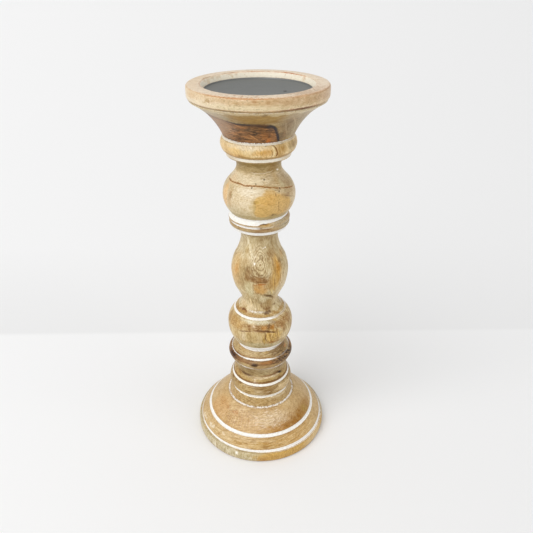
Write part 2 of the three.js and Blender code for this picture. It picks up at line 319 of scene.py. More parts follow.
class Turned:
    """The places on a turned surface that its finish needs, as wires of one graph."""

    def __init__(self, graph: Graph, radius: float, fibre: Fibre, lean: float) -> None:
        """Work out the places.

        Args:
            graph: Graph of the material.
            radius: Usual radius of the surface in millimetres.
            fibre: Which way the fibres run.
            lean: Slope of the fibres in degrees.
        """
        self.graph = graph
        self.arc = math.radians(1) * radius
        self.place = graph.object_place()
        parts = graph.add("SeparateXYZ", {0: self.place})
        x, y, self.height = (graph.wire(parts, index) for index in range(3))
        self.radius = graph.math("SQRT", x * x + y * y)
        self.angle = graph.math("ARCTAN2", x, y * -1.0) * math.degrees(1)
        self.angle_behind = graph.math("ARCTAN2", x * -1.0, y) * math.degrees(1)
        thin = (1.0, 1.0, 0.09) if fibre is Fibre.UPRIGHT else (0.09, 1.0, 1.0)
        short = (1.0, 1.0, 0.3) if fibre is Fibre.UPRIGHT else (0.3, 1.0, 1.0)
        self.fibres = graph.stretch(self.place, thin, (0, lean, 0))
        self.flecks = graph.stretch(self.place, short, (0, lean * 2, 0))
        self.mottle = graph.noise(self.flecks, 4.6, 3.0, 0.6)
        self.patchy = graph.span(self.mottle, 0.32, 0.62, 0.62, 1.15)
        self.soft_drift = graph.drift(self.place, 7.0, 2.6)
        self.fine_drift = graph.drift(self.place, 1.7, FINE_REACH)
        self.flats: dict[tuple[bool, Surface, bool], Wire] = {}

    def flat(self, behind: bool = False, surface: Surface = Surface.SIDE, soft: bool = False) -> Wire:
        """Return the surface laid flat in millimetres, with ragged or soft irregularity.

        Args:
            behind: True to measure the angle from the middle of the back.
            surface: What the second axis measures.
            soft: True for broad as well as fine irregularity.

        Returns:
            The flat place: along the arc, and height or radius.
        """
        key = (behind, surface, soft)
        if key not in self.flats:
            angle = self.angle_behind if behind else self.angle
            second = self.height if surface is Surface.SIDE else self.radius
            place = self.graph.join(angle * self.arc, second)
            if soft:
                place = self.graph.vector("ADD", place, self.soft_drift)
            self.flats[key] = self.graph.vector("ADD", place, self.fine_drift)
        return self.flats[key]

    def edge(self, edge: Edge) -> Input:
        """Return the height of an edge that is level or follows places round the holder."""
        if isinstance(edge, tuple):
            return self.graph.line(self.angle, edge)
        return edge


@dataclass(frozen=True)
class Patch:
    """A patch of other colour, round or drawn out, with a soft edge."""

    angle: float
    height: float
    half_angle: float
    half_height: float
    colour: Colour
    strength: float = 0.7
    softness: float = 0.4
    tilt: float = 0.0
    surface: Surface = Surface.SIDE
    behind: bool = False
    soft: bool = True

    def mask(self, wood: Turned) -> Wire:
        """Return how much of the patch shows, from 0 to 1."""
        graph = wood.graph
        flat = wood.flat(self.behind, self.surface, self.soft)
        local = graph.vector("SUBTRACT", flat, (self.angle * wood.arc, self.height, 0.0))
        if self.tilt:
            local = graph.tilted(local, self.tilt)
        local = graph.vector("DIVIDE", local, (self.half_angle * wood.arc, self.half_height, 1.0))
        return graph.smooth(graph.length(local), 1.0 + self.softness, 1.0 - self.softness)

    def lay(self, wood: Turned, colour: Wire) -> Wire:
        """Lay the patch over a colour."""
        share = self.mask(wood) * self.strength
        if self.soft:
            share = share * wood.patchy
        return wood.graph.blend(share, colour, linear(self.colour))


@dataclass(frozen=True)
class Streak:
    """A thin line of other colour through places from left to right, or from the top down if upright."""

    places: tuple[Place, ...]
    width: float
    colour: Colour
    strength: float = 0.8
    upright: bool = False
    ends: float = 3.0

    def mask(self, wood: Turned) -> Wire:
        """Return how much of the line shows, from 0 to 1."""
        graph = wood.graph
        flat = graph.add("SeparateXYZ", {0: wood.flat()})
        angle = graph.wire(flat, 0) / wood.arc
        height = graph.wire(flat, 1)
        if self.upright:
            along, across, unit, reach = height, angle, wood.arc, self.ends
            places = tuple((place[1], place[0]) for place in reversed(self.places))
        else:
            along, across, unit, reach = angle, height, 1.0, self.ends / wood.arc
            places = self.places
        off = graph.math("ABSOLUTE", across - graph.line(along, places)) * unit
        start = graph.smooth(along, places[0][0] - reach, places[0][0] + reach)
        end = graph.smooth(along, places[-1][0] + reach, places[-1][0] - reach)
        return graph.smooth(off, self.width, self.width * 0.25) * start * end

    def lay(self, wood: Turned, colour: Wire) -> Wire:
        """Lay the line over a colour."""
        share = self.mask(wood) * self.strength * wood.patchy
        return wood.graph.blend(share, colour, linear(self.colour))


@dataclass(frozen=True)
class Hatch:
    """Fine broken lines of another colour within a patch, all with the same slope in degrees."""

    where: Patch
    slope: float
    width: float = 0.8
    length: float = 7.0

    def lay(self, wood: Turned, colour: Wire) -> Wire:
        """Lay the lines over a colour."""
        graph = wood.graph
        flat = graph.tilted(wood.flat(), self.slope)
        along = graph.vector("MULTIPLY", flat, (self.width / self.length, 1.0, 0.0))
        lines = graph.smooth(graph.noise(along, self.width, 2.0, 0.6), 0.47, 0.63)
        share = lines * self.where.mask(wood) * self.where.strength
        return graph.blend(share, colour, linear(self.where.colour))


@dataclass(frozen=True)
class Zone:
    """A stretch of height of another colour, all the way round."""

    low: Edge
    high: Edge
    colour: Colour
    strength: float = 0.6
    softness: float = 1.5
    soft: bool = True

    def lay(self, wood: Turned, colour: Wire) -> Wire:
        """Lay the stretch over a colour."""
        graph = wood.graph
        parts = graph.add("SeparateXYZ", {0: wood.flat(soft=self.soft)})
        height = graph.wire(parts, 1)
        over = graph.smooth(height - wood.edge(self.low), -self.softness, self.softness)
        under = graph.smooth(height - wood.edge(self.high), self.softness, -self.softness)
        return graph.blend(over * under * self.strength, colour, linear(self.colour))


@dataclass(frozen=True)
class Knot:
    """Rings round a small knot in the face of the wood."""

    angle: float
    height: float
    reach: float
    spacing: float
    pale: Colour
    dark: Colour
    core: Colour
    strength: float
    squeeze: float = 0.62

    def lay(self, wood: Turned, colour: Wire) -> Wire:
        """Lay the knot's rings over a colour."""
        graph = wood.graph
        flat = wood.flat()
        local = graph.vector("SUBTRACT", flat, (self.angle * wood.arc, self.height, 0.0))
        round_local = graph.vector("ADD", local, graph.drift(wood.place, 6.0, 0.5))
        near = graph.length(round_local)
        oval = graph.vector("MULTIPLY", local, (1.0, self.squeeze, 0.0))
        bent = graph.vector("ADD", oval, graph.drift(wood.place, 12.0, 3.6))
        length = graph.span(near, 3.0, 8.0, near, graph.length(bent))
        wave = graph.math("SINE", length * (math.tau / self.spacing)) * 0.5 + 0.5
        lines = graph.smooth(wave, 0.35, 0.95) * wood.patchy
        fade = graph.smooth(length, self.reach, self.reach * 0.3)
        paled = graph.blend(fade * self.strength * 0.6, colour, linear(self.pale))
        ringed = graph.blend(fade * lines * self.strength, paled, linear(self.dark))
        halo = graph.smooth(near, 3.2, 1.8)
        core = graph.smooth(near, 1.5, 0.6)
        haloed = graph.blend(halo * 0.8, ringed, linear(self.pale))
        return graph.blend(core * 0.75, haloed, linear(self.core))


@dataclass(frozen=True)
class Heartwood:
    """Streaky dark heartwood below a border line, with a dark outline."""

    border: tuple[Place, ...]
    stops: tuple[tuple[float, Colour], ...]
    outline: Colour
    outline_width: float

    def lay(self, wood: Turned, colour: Wire) -> Wire:
        """Lay the heartwood over a colour."""
        graph = wood.graph
        parts = graph.add("SeparateXYZ", {0: wood.flat()})
        angle = graph.wire(parts, 0) / wood.arc
        below = graph.line(angle, self.border) - graph.wire(parts, 1)
        bent = graph.vector("ADD", wood.place, graph.drift(wood.place, 14.0, 4.0))
        streaks = graph.noise(graph.stretch(bent, (0.16, 0.5, 1.0), (0, -9, 0)), 2.0, 5.0, 0.68)
        fill = graph.ramp(streaks, self.stops)
        filled = graph.blend(graph.smooth(below, -0.7, 0.9), colour, fill)
        blots = graph.span(graph.noise(wood.place, 11.0, 1.0), 0.3, 0.7, 0.55, 1.0)
        inner = graph.smooth(below, self.outline_width * 1.9, self.outline_width * 0.6)
        outer = graph.smooth(below, -self.outline_width * 0.7, self.outline_width * 0.1)
        return graph.blend(inner * outer * blots, filled, linear(self.outline))


@dataclass(frozen=True)
class Paint:
    """White paint left between two edges, with chips out of it and bare patches."""

    low: Edge
    high: Edge
    strength: float = 0.95
    ragged: float = 0.3
    chips: float = 0.30
    surface: Surface = Surface.SIDE
    bare: tuple[Patch, ...] = ()
    # How dark the seam past the paint's edges is: dirt, with painted shade at the groove's arris.
    dirt_and_shade: float = 0.42

    def band(self, wood: Turned, spread: float, softness: float) -> Wire:
        """Return the band between the edges, from 0 to 1.

        Args:
            wood: Places on the surface.
            spread: How far the band reaches past the edges, in millimetres.
            softness: Half width of its soft edges.

        Returns:
            The band.
        """
        graph = wood.graph
        parts = graph.add("SeparateXYZ", {0: wood.flat(surface=self.surface)})
        steady = wood.height if self.surface is Surface.SIDE else wood.radius
        second = steady + (graph.wire(parts, 1) - steady) * (self.ragged / FINE_REACH)
        over = graph.smooth(second - wood.edge(self.low), -softness - spread, softness - spread)
        under = graph.smooth(second - wood.edge(self.high), softness + spread, spread - softness)
        band = over * under
        for patch in self.bare:
            band = band * graph.math("SUBTRACT", 1.0, patch.mask(wood) * patch.strength)
        return band

    def mask(self, wood: Turned) -> Wire:
        """Return how much paint shows, from 0 to 1."""
        flakes = wood.graph.noise(wood.place, 1.5, 3.0, 0.6)
        kept = wood.graph.smooth(flakes, self.chips, self.chips + 0.09)
        return self.band(wood, 0.0, 0.2) * kept * self.strength

    def seam(self, wood: Turned) -> Wire:
        """Return the fine line of dirt and painted shade that shows just past the paint's edges."""
        return self.band(wood, 0.55, 0.35) * self.dirt_and_shade


Mark = Patch | Streak | Hatch | Zone | Knot | Heartwood


@dataclass(frozen=True)
class WoodFinish:
    """Varnished wood with its grain, its marks and what is left of the white paint."""

    name: str
    pale: Colour
    mid: Colour
    deep: Colour
    radius: float
    fibre: Fibre = Fibre.UPRIGHT
    lean: float = 4.0
    pith: Place = (30.0, 42.0)
    ring_spacing: float = 4.2
    ring_strength: float = 0.12
    cloud_strength: float = 0.8
    fibre_strength: float = 0.9
    mottle_strength: float = 0.4
    grain_strength: float = 1.3
    pore_strength: float = 0.45
    marks: tuple[Mark, ...] = ()
    paints: tuple[Paint, ...] = ()
    roughness: float = 0.40
    white: Colour = (248, 247, 244)
    dusty_white: Colour = (226, 219, 202)
    # Colour of the seams past the paint's edges: dirt, with painted shade at the groove's arris.
    seam_dirt_and_shade: Colour = (128, 92, 50)
    pore: Colour = (104, 78, 48)
    lift: float = 1.13

    def dress(self) -> bpy.types.Material:
        """Make the material.

        Returns:
            The finished material.
        """
        graph = Graph(self.name)
        wood = Turned(graph, self.radius, self.fibre, self.lean)
        flow = graph.noise(wood.fibres, 3.2, 3.0, 0.6)
        hair = graph.noise(wood.fibres, 0.7, 2.0, 0.6)
        fleck = graph.noise(wood.flecks, 1.15, 3.0, 0.66)
        cloud = graph.noise(wood.place, 24.0, 2.0, 0.5)
        rings = self.growth_rings(wood)
        tone = (cloud - 0.5) * self.cloud_strength + (flow - 0.5) * self.fibre_strength + 0.5
        tone = tone + (wood.mottle - 0.5) * self.mottle_strength + (rings - 0.5) * self.ring_strength
        colour = graph.ramp(tone, ((0.2, self.pale), (0.5, self.mid), (0.82, self.deep)))
        for mark in self.marks:
            colour = mark.lay(wood, colour)
        # Darken just past each paint's edges: dirt, with painted shade at the groove's arris.
        for paint in self.paints:
            colour = graph.blend(paint.seam(wood), colour, linear(self.seam_dirt_and_shade))
        grain = (fleck - 0.5) * 1.2 + (wood.mottle - 0.5) * 0.3 + (hair - 0.5) * 0.8 + (flow - 0.5) * 0.4
        grain = grain * self.grain_strength + 0.5
        shade = graph.ramp(grain, ((0.2, (255, 255, 255)), (0.5, (240, 237, 232)), (0.8, (213, 200, 178))))
        colour = graph.blend(1.0, colour, shade, "MULTIPLY")
        colour = graph.blend(1.0, colour, (self.lift, self.lift, self.lift, 1.0), "MULTIPLY")
        pores = self.pores(wood, cloud)
        colour = graph.blend(pores * self.pore_strength, colour, linear(self.pore))
        turning = graph.noise(graph.stretch(wood.place, (0.02, 0.02, 1.0)), 0.7, 2.0)
        relief = hair * 0.018 + pores * -0.05 + turning * 0.012 + fleck * 0.02
        paint = self.paint_cover(wood)
        rough = graph.span(hair, 0.2, 0.8, self.roughness - 0.05, self.roughness + 0.07)
        if paint is not None:
            dust = graph.span(graph.noise(wood.place, 2.4, 3.0), 0.3, 0.75, 0.0, 0.6)
            white = graph.blend(dust, linear(self.white), linear(self.dusty_white))
            colour = graph.blend(paint, colour, white)
            relief = relief + paint * 0.05
            rough = graph.span(paint, 0.0, 1.0, rough, 0.62)
        bump = graph.add("Bump", {"Strength": 0.7, "Distance": MM, "Height": relief})
        return graph.finish(
            Base_Color=colour, Roughness=rough, Normal=graph.wire(bump), Specular_IOR_Level=0.2,
            Coat_Weight=0.1, Coat_Roughness=0.14,
        )

    def growth_rings(self, wood: Turned) -> Wire:
        """Return the growth rings round the pith: 0 in early wood and 1 in late wood."""
        graph = wood.graph
        bent = graph.vector("ADD", wood.place, graph.drift(wood.place, 22.0, 3.6))
        axes = (0, 1) if self.fibre is Fibre.UPRIGHT else (1, 2)
        middle = (self.pith[0], self.pith[1], 0.0)
        if self.fibre is Fibre.ACROSS:
            middle = (0.0, self.pith[0], self.pith[1])
        away = graph.add("SeparateXYZ", {0: graph.vector("SUBTRACT", bent, middle)})
        first, second = (graph.wire(away, axis) for axis in axes)
        lean = graph.wire(away, 2 if self.fibre is Fibre.UPRIGHT else 0) * 0.07
        distance = graph.math("SQRT", first * first + second * second) + lean
        part = graph.math("FRACT", distance / self.ring_spacing)
        rise = graph.smooth(part, 0.15, 0.82)
        return rise * graph.smooth(part, 1.0, 0.86)

    def pores(self, wood: Turned, cloud: Wire) -> Wire:
        """Return the short dark pores along the fibres, denser where the wood is darker."""
        graph = wood.graph
        shortening = (1.0, 1.0, 2.6) if self.fibre is Fibre.UPRIGHT else (2.6, 1.0, 1.0)
        specks = graph.noise(graph.stretch(wood.fibres, shortening), 0.62, 1.0, 0.5)
        limit = graph.span(cloud, 0.3, 0.7, 0.70, 0.61)
        return graph.smooth(specks, limit, limit + 0.06)

    def paint_cover(self, wood: Turned) -> Wire | None:
        """Return the cover of all the paint together, or None where there is none."""
        cover = None
        for paint in self.paints:
            mask = paint.mask(wood)
            cover = mask if cover is None else wood.graph.math("MAXIMUM", cover, mask)
        return cover


@dataclass(frozen=True)
class SteelFinish:
    """Steel with faint scuffs."""

    name: str
    colour: Colour
    metallic: float
    roughness: float
    scuff: float = 0.25

    def dress(self) -> bpy.types.Material:
        """Make the material.

        Returns:
            The finished material.
        """
        graph = Graph(self.name)
        place = graph.object_place()
        cloud = graph.noise(place, 17.0, 3.0, 0.55)
        speckle = graph.noise(place, 0.5, 2.0, 0.6)
        scratches = graph.noise(graph.stretch(place, (0.04, 1.0, 1.0), (0, 0, 24)), 0.8, 3.0, 0.7)
        shade = (cloud - 0.5) * self.scuff + (speckle - 0.5) * 0.16 + (scratches - 0.5) * 0.14 + 1.0
        colour = graph.blend(1.0, linear(self.colour), graph.join(shade, shade, shade), "MULTIPLY")
        rough = graph.span(cloud, 0.3, 0.7, self.roughness - 0.06, self.roughness + 0.08)
        relief = speckle * 0.02 + scratches * 0.02
        bump = graph.add("Bump", {"Strength": 0.5, "Distance": MM, "Height": relief})
        return graph.finish(
            Base_Color=colour, Metallic=self.metallic, Roughness=rough, Normal=graph.wire(bump),
        )


@dataclass(frozen=True)
class FeltFinish:
    """Pressed dark felt."""

    name: str
    dark: Colour
    light: Colour

    def dress(self) -> bpy.types.Material:
        """Make the material.

        Returns:
            The finished material.
        """
        graph = Graph(self.name)
        place = graph.object_place()
        hairs = graph.noise(graph.vector("ADD", place, graph.drift(place, 3.0, 2.5)), 0.45, 4.0, 0.75)
        cloud = graph.noise(place, 14.0, 2.0)
        tone = graph.math("MULTIPLY_ADD", hairs, 0.75, cloud * 0.3)
        colour = graph.ramp(tone, ((0.3, self.dark), (0.75, self.light)))
        bump = graph.add("Bump", {"Strength": 0.9, "Distance": MM, "Height": hairs * 0.25})
        return graph.finish(Base_Color=colour, Roughness=0.95, Normal=graph.wire(bump), Sheen_Weight=0.35)


class Outline:
    """The outline of a turned piece, followed from place to place in millimetres."""

    def __init__(self, *places: Place) -> None:
        """Start with places given as radius and height."""
        self.places: list[Place] = list(places)

    def line(self, *places: Place) -> "Outline":
        """Go on in straight lines."""
        self.places.extend(places)
        return self

    def sweep(self, *places: Place, spacing: float = 0.9) -> "Outline":
        """Go on in one smooth line through a few places.

        Args:
            *places: Radius and height of the places.
            spacing: Rough distance between the points of the line.

        Returns:
            The same outline.
        """
        knots = [Vector(place) for place in (places[0], *places, places[-1])]
        for before, start, end, after in zip(knots, knots[1:], knots[2:], knots[3:]):
            steps = max(2, round((end - start).length / spacing))
            for step in range(steps):
                share = step / steps
                bend = (end - before) * share + (before * 2 - start * 5 + end * 4 - after) * share**2
                bend += (start * 3 - before - end * 3 + after) * share**3
                self.places.append(tuple(start + bend * 0.5))
        self.places.append(tuple(places[-1]))
        return self

    def ball(
        self, equator: float, radius: float, below: float, above: float, low: float, high: float,
    ) -> "Outline":
        """Go on round a ball whose lower and upper halves are half ellipses.

        Args:
            equator: Height of the widest place.
            radius: Widest radius.
            below: Half height of the lower half.
            above: Half height of the upper half.
            low: Height at which the line starts.
            high: Height at which it ends.

        Returns:
            The same outline.
        """
        start, end = math.asin((low - equator) / below), math.asin((high - equator) / above)
        steps = 44
        for step in range(steps + 1):
            angle = start + (end - start) * step / steps
            half = below if angle < 0 else above
            self.places.append((radius * math.cos(angle), equator + half * math.sin(angle)))
        return self

    def groove(
        self, radius: float, height: float, lean: float, width: float = 2.6, depth: float = 0.9,
    ) -> "Outline":
        """Go on through a round groove.

        Args:
            radius: Radius of the middle of its mouth.
            height: Height of the middle of its mouth.
            lean: Lean of the surface towards the axis, in degrees from upright.
            width: Width of the mouth.
            depth: Depth of the groove.

        Returns:
            The same outline.
        """
        angle = math.radians(lean)
        along = Vector((-math.sin(angle), math.cos(angle)))
        inward = Vector((-math.cos(angle), -math.sin(angle)))
        middle = Vector((radius, height))
        fullness = 0.7
        for turn in (-90, -60, -25, 25, 60, 90):
            shift = along * math.sin(math.radians(turn)) * width / 2
            sink = inward * math.cos(math.radians(turn)) ** fullness * depth
            self.places.append(tuple(middle + shift + sink))
        return self


def start_fresh() -> None:
    """Deselect everything before a new piece is added."""
    if bpy.context.object and bpy.context.object.mode != "OBJECT":
        bpy.ops.object.mode_set(mode="OBJECT")
    bpy.ops.object.select_all(action="DESELECT")


def spin_outline(
    name: str, outline: Outline, steps: int, edge: float, closed: bool = True,
) -> bpy.types.Object:
    """Turn an outline round the axis, as on a lathe.

    Args:
        name: Name of the new piece.
        outline: Outline of the piece, with its inside on the left on the way up.
        steps: Number of steps of the turn.
        edge: Width of the softened edges in millimetres.
        closed: True where the outline goes back to its start round a bore.

    Returns:
        The turned piece, with its place in its mesh.
    """
    start_fresh()
    bpy.ops.mesh.primitive_plane_add(size=0.01, enter_editmode=True, location=(0, 0, 0))
    piece = bpy.context.object
    piece.name = name
    bpy.ops.mesh.select_mode(type="VERT")
    bpy.ops.mesh.select_all(action="SELECT")
    bpy.ops.mesh.merge(type="CENTER")
    places = [*outline.places, outline.places[0]] if closed else outline.places
    bpy.ops.transform.translate(value=(places[0][0] * MM, 0, places[0][1] * MM))
    for before, after in zip(places, places[1:]):
        step = ((after[0] - before[0]) * MM, 0, (after[1] - before[1]) * MM)
        bpy.ops.mesh.extrude_vertices_move(TRANSFORM_OT_translate={"value": step})
    bpy.ops.mesh.select_all(action="SELECT")
    bpy.ops.mesh.remove_doubles(threshold=OUTLINE_MERGE)
    bpy.ops.mesh.select_all(action="SELECT")
    bpy.ops.mesh.spin(steps=steps, angle=math.tau, center=(0, 0, 0), axis=(0, 0, 1))
    bpy.ops.mesh.select_all(action="SELECT")
    bpy.ops.mesh.remove_doubles(threshold=PIECE_MERGE)
    bpy.ops.mesh.normals_make_consistent(inside=False)
    if edge > 0:
        bpy.ops.mesh.select_mode(type="EDGE")
        bpy.ops.mesh.select_all(action="DESELECT")
        bpy.ops.mesh.edges_select_sharp(sharpness=SHARP_EDGE)
        bpy.ops.mesh.bevel(offset=edge * MM, segments=3, affect="EDGES", clamp_overlap=True)
    bpy.ops.object.mode_set(mode="OBJECT")
    bpy.ops.object.shade_smooth_by_angle(angle=SMOOTH_EDGE)
    return piece


def hand_over(piece: bpy.types.Object, node: str, material: bpy.types.Material) -> None:
    """Dress a piece and let it stand for its CAD node.

    Args:
        piece: The new piece.
        node: Name of the CAD node that it replaces.
        material: Its finish.
    """
    piece.data.materials.clear()
    piece.data.materials.append(material)
    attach(piece, BODY)
    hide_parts(node)
    corners = [piece.matrix_world @ Vector(corner) for corner in piece.bound_box]
    low = min(corner.z for corner in corners) / MM
    high = max(corner.z for corner in corners) / MM
    LOG.info("%s: %d faces, from %.1f to %.1f mm high", piece.name, len(piece.data.polygons), low, high)


@dataclass(frozen=True)
class Tenon:
    """A round tenon and the socket that takes it, in millimetres."""

    radius: float
    length: float
    clearance: float = 0.3
    end_gap: float = 0.4


FOOT_TENON = Tenon(20.0, 8.0)
THICK_TENON = Tenon(14.0, 8.0)
SLIM_TENON = Tenon(12.0, 8.0)
SHORT_TENON = Tenon(12.0, 6.0)


@dataclass
class Section:
    """A turned section with a socket below and a tenon above."""

    node: str
    slot: str
    bottom: float
    top: float
    socket: Tenon | None = None
    tenon: Tenon | None = None
    bore: float = 4.6
    steps: int = 160
    edge: float = 0.22

    def outside(self, outline: Outline) -> None:
        """Follow the outside from the lower shoulder to the upper one."""
        raise NotImplementedError

    def finish(self) -> WoodFinish:
        """Return the finish of the section."""
        raise NotImplementedError

    def lower_end(self, outline: Outline) -> None:
        """Follow the socket from the bore out to the lower shoulder."""
        ceiling = self.bottom + self.socket.length + self.socket.end_gap
        radius = self.socket.radius + self.socket.clearance
        outline.line((self.bore, ceiling), (radius, ceiling), (radius, self.bottom))

    def upper_end(self, outline: Outline) -> None:
        """Follow the tenon from the upper shoulder to the bore."""
        end = self.top + self.tenon.length
        outline.line((self.tenon.radius, self.top), (self.tenon.radius, end), (self.bore, end))

    def build(self) -> bpy.types.Object:
        """Turn the section, dress it and hand it over.

        Returns:
            The finished piece.
        """
        outline = Outline()
        self.lower_end(outline)
        self.outside(outline)
        self.upper_end(outline)
        piece = spin_outline(f"turned_{self.node}", outline, self.steps, self.edge)
        hand_over(piece, self.node, self.finish().dress())
        return piece


@dataclass
class Foot(Section):
    """The conical foot, with two painted grooves, an upright edge and recesses underneath."""

    node: str = "base"
    slot: str = "base_wood"
    bottom: float = 0.5
    top: float = FOOT_TOP
    tenon: Tenon | None = FOOT_TENON
    edge_radius: float = 71.8
    felt_wall: float = 60.5
    felt_ceiling: float = FELT_TOP
    pocket_radius: float = NUT_POCKET_RADIUS
    pocket_ceiling: float = 13.9

    def lower_end(self, outline: Outline) -> None:
        """Follow the nut pocket and the felt recess out to the edge."""
        outline.line(
            (self.bore, self.pocket_ceiling), (self.pocket_radius, self.pocket_ceiling),
            (self.pocket_radius, self.felt_ceiling), (self.felt_wall, self.felt_ceiling),
            (self.felt_wall, self.bottom), (self.edge_radius - 0.9, self.bottom),
        )

    def outside(self, outline: Outline) -> None:
        """Follow the edge, the grooves and the cone."""
        outline.line((self.edge_radius - 0.3, 0.9), (self.edge_radius, 2.0), (self.edge_radius, 7.2))
        outline.line((71.6, 8.9), (71.0, 10.1)).groove(69.4, 11.9, 50)
        outline.sweep((66.6, 15.4), (63.9, 18.5), (61.2, 21.4)).groove(58.4, 24.7, 46)
        outline.sweep((55.6, 27.6), (52.0, 31.2), (48.4, 34.6), (44.0, 38.6), (40.4, 41.4), (38.2, 42.9),
                      (36.6, 43.7), (35.6, self.top))

    def finish(self) -> WoodFinish:
        """Return the finish of the foot."""
        gold = (196, 150, 84)
        edge_bare = (Patch(-78, 12.6, 7, 1.2, gold, 0.5),)
        edge_line = ((-180, 11.4), (-20, 11.4), (24, 10.9), (60, 10.9), (180, 11.4))
        marks = (
            Patch(-66, 33, 16, 9, (210, 166, 108), 0.6),
            Patch(-26, 31, 26, 6, (196, 158, 98), 0.6),
            Patch(15, 35.8, 19, 4.2, (226, 206, 172), 0.75, 0.6),
            Patch(54, 35.2, 13, 3.8, (208, 180, 132), 0.6, 0.6),
            Patch(46, 28.4, 34, 4.6, (160, 112, 26), 0.9, 0.8, 4),
            Patch(18, 28.6, 16, 2.8, (190, 142, 68), 0.6, 0.8),
            Patch(38, 28.4, 26, 2.6, (158, 108, 34), 0.5, 0.8),
            Patch(66, 30, 5, 2.4, (184, 158, 84), 0.5, 0.6),
            Patch(-38, 37.5, 4.5, 1.6, (184, 128, 66), 0.65, 0.5),
            Patch(-66, 37.6, 16, 1.6, (190, 144, 86), 0.4, 0.5),
            Patch(-14, 41.6, 8, 1.6, (172, 142, 90), 0.5, 0.6),
            Hatch(Patch(-32, 34, 30, 9, (238, 218, 186), 0.45, 0.5), 96, 0.9, 10),
            Hatch(Patch(-10, 34, 60, 9, (168, 124, 84), 0.5, 0.4), 8, 0.7, 9),
            Hatch(Patch(10, 36, 26, 7, (240, 226, 206), 0.5, 0.4), 4, 0.7, 8),
            Hatch(Patch(46, 32, 34, 8, (142, 98, 38), 0.55, 0.4), 24, 0.7, 7),
            Streak(((-80, 28.4), (-50, 27.2), (-20, 27.0)), 0.7, (184, 140, 80), 0.5),
            Patch(5.0, 17.6, 3.6, 3.4, (170, 124, 62), 0.7, 0.6),
            Patch(4.0, 15.9, 3.2, 1.5, (136, 92, 40), 0.85, 0.6, soft=False),
            Patch(-8, 16.6, 24, 3.0, (184, 144, 68), 0.75, 0.5),
            Patch(38, 18.6, 26, 4.4, (196, 152, 76), 0.6, 0.5),
            Hatch(Patch(0, 19, 80, 4, (156, 120, 60), 0.5, 0.4), 3, 0.7, 12),
            Hatch(Patch(0, 18, 80, 4, (238, 222, 182), 0.45, 0.4), 2, 0.6, 14),
            Patch(-58, 17.4, 4.4, 1.1, (236, 226, 204), 0.8, 0.5),
            Patch(-40, 18.8, 1.9, 1.3, (234, 220, 194), 0.75, 0.5),
            Patch(-74, 16.2, 5.0, 0.9, (238, 228, 206), 0.7, 0.5),
            Zone(0.0, 11.4, (196, 186, 154), 0.85, 0.6),
            Patch(-11, 6, 11, 7, (184, 164, 110), 0.6, 0.5),
            Patch(41, 5.8, 48, 8.4, (206, 166, 86), 0.9, 0.16, soft=False),
            Hatch(Patch(-38, 6, 40, 6.6, (152, 132, 80), 0.75, 0.2), 90, 0.8, 9),
            Hatch(Patch(-34, 6, 36, 6.6, (240, 234, 212), 0.55, 0.2), 88, 0.7, 9),
            Hatch(Patch(32, 6, 32, 6.6, (162, 116, 48), 0.5, 0.2), 92, 0.7, 9),
            Patch(-43, 5, 1.1, 5, (160, 124, 70), 0.7, 0.5),
            Patch(1, 3.6, 5.0, 3.0, (176, 128, 60), 0.5, 0.6),
            Patch(56, 6, 14, 6, (226, 202, 156), 0.75, 0.5),
            Patch(-22, 8.4, 1.2, 2.0, (246, 244, 234), 0.85, 0.5),
            Patch(-46, 5.4, 2.0, 3.2, (236, 230, 212), 0.5, 0.6),
            # Painted shadow: a thin brown line round the very bottom of the edge, where it meets the floor.
            Zone(0.0, 1.6, (158, 122, 74), 0.55, 0.6),
        )
        return WoodFinish(
            "foot_wood", (216, 194, 154), (203, 174, 126), (180, 142, 88), 60.0, Fibre.ACROSS, 3.0,
            pith=(16.0, -30.0), ring_spacing=5.0, ring_strength=0.05, cloud_strength=0.4, fibre_strength=0.6,
            mottle_strength=0.1, grain_strength=0.95, marks=marks,
            paints=(
                Paint(edge_line, 13.6, 1.0, 0.25, 0.2, bare=edge_bare, dirt_and_shade=0.25),
                Paint(23.4, 26.0, 1.0, 0.3, 0.18, dirt_and_shade=0.2),
                Paint(43.7, 44.6, 0.9, 0.35, 0.4, dirt_and_shade=0.3),
            ),
        )


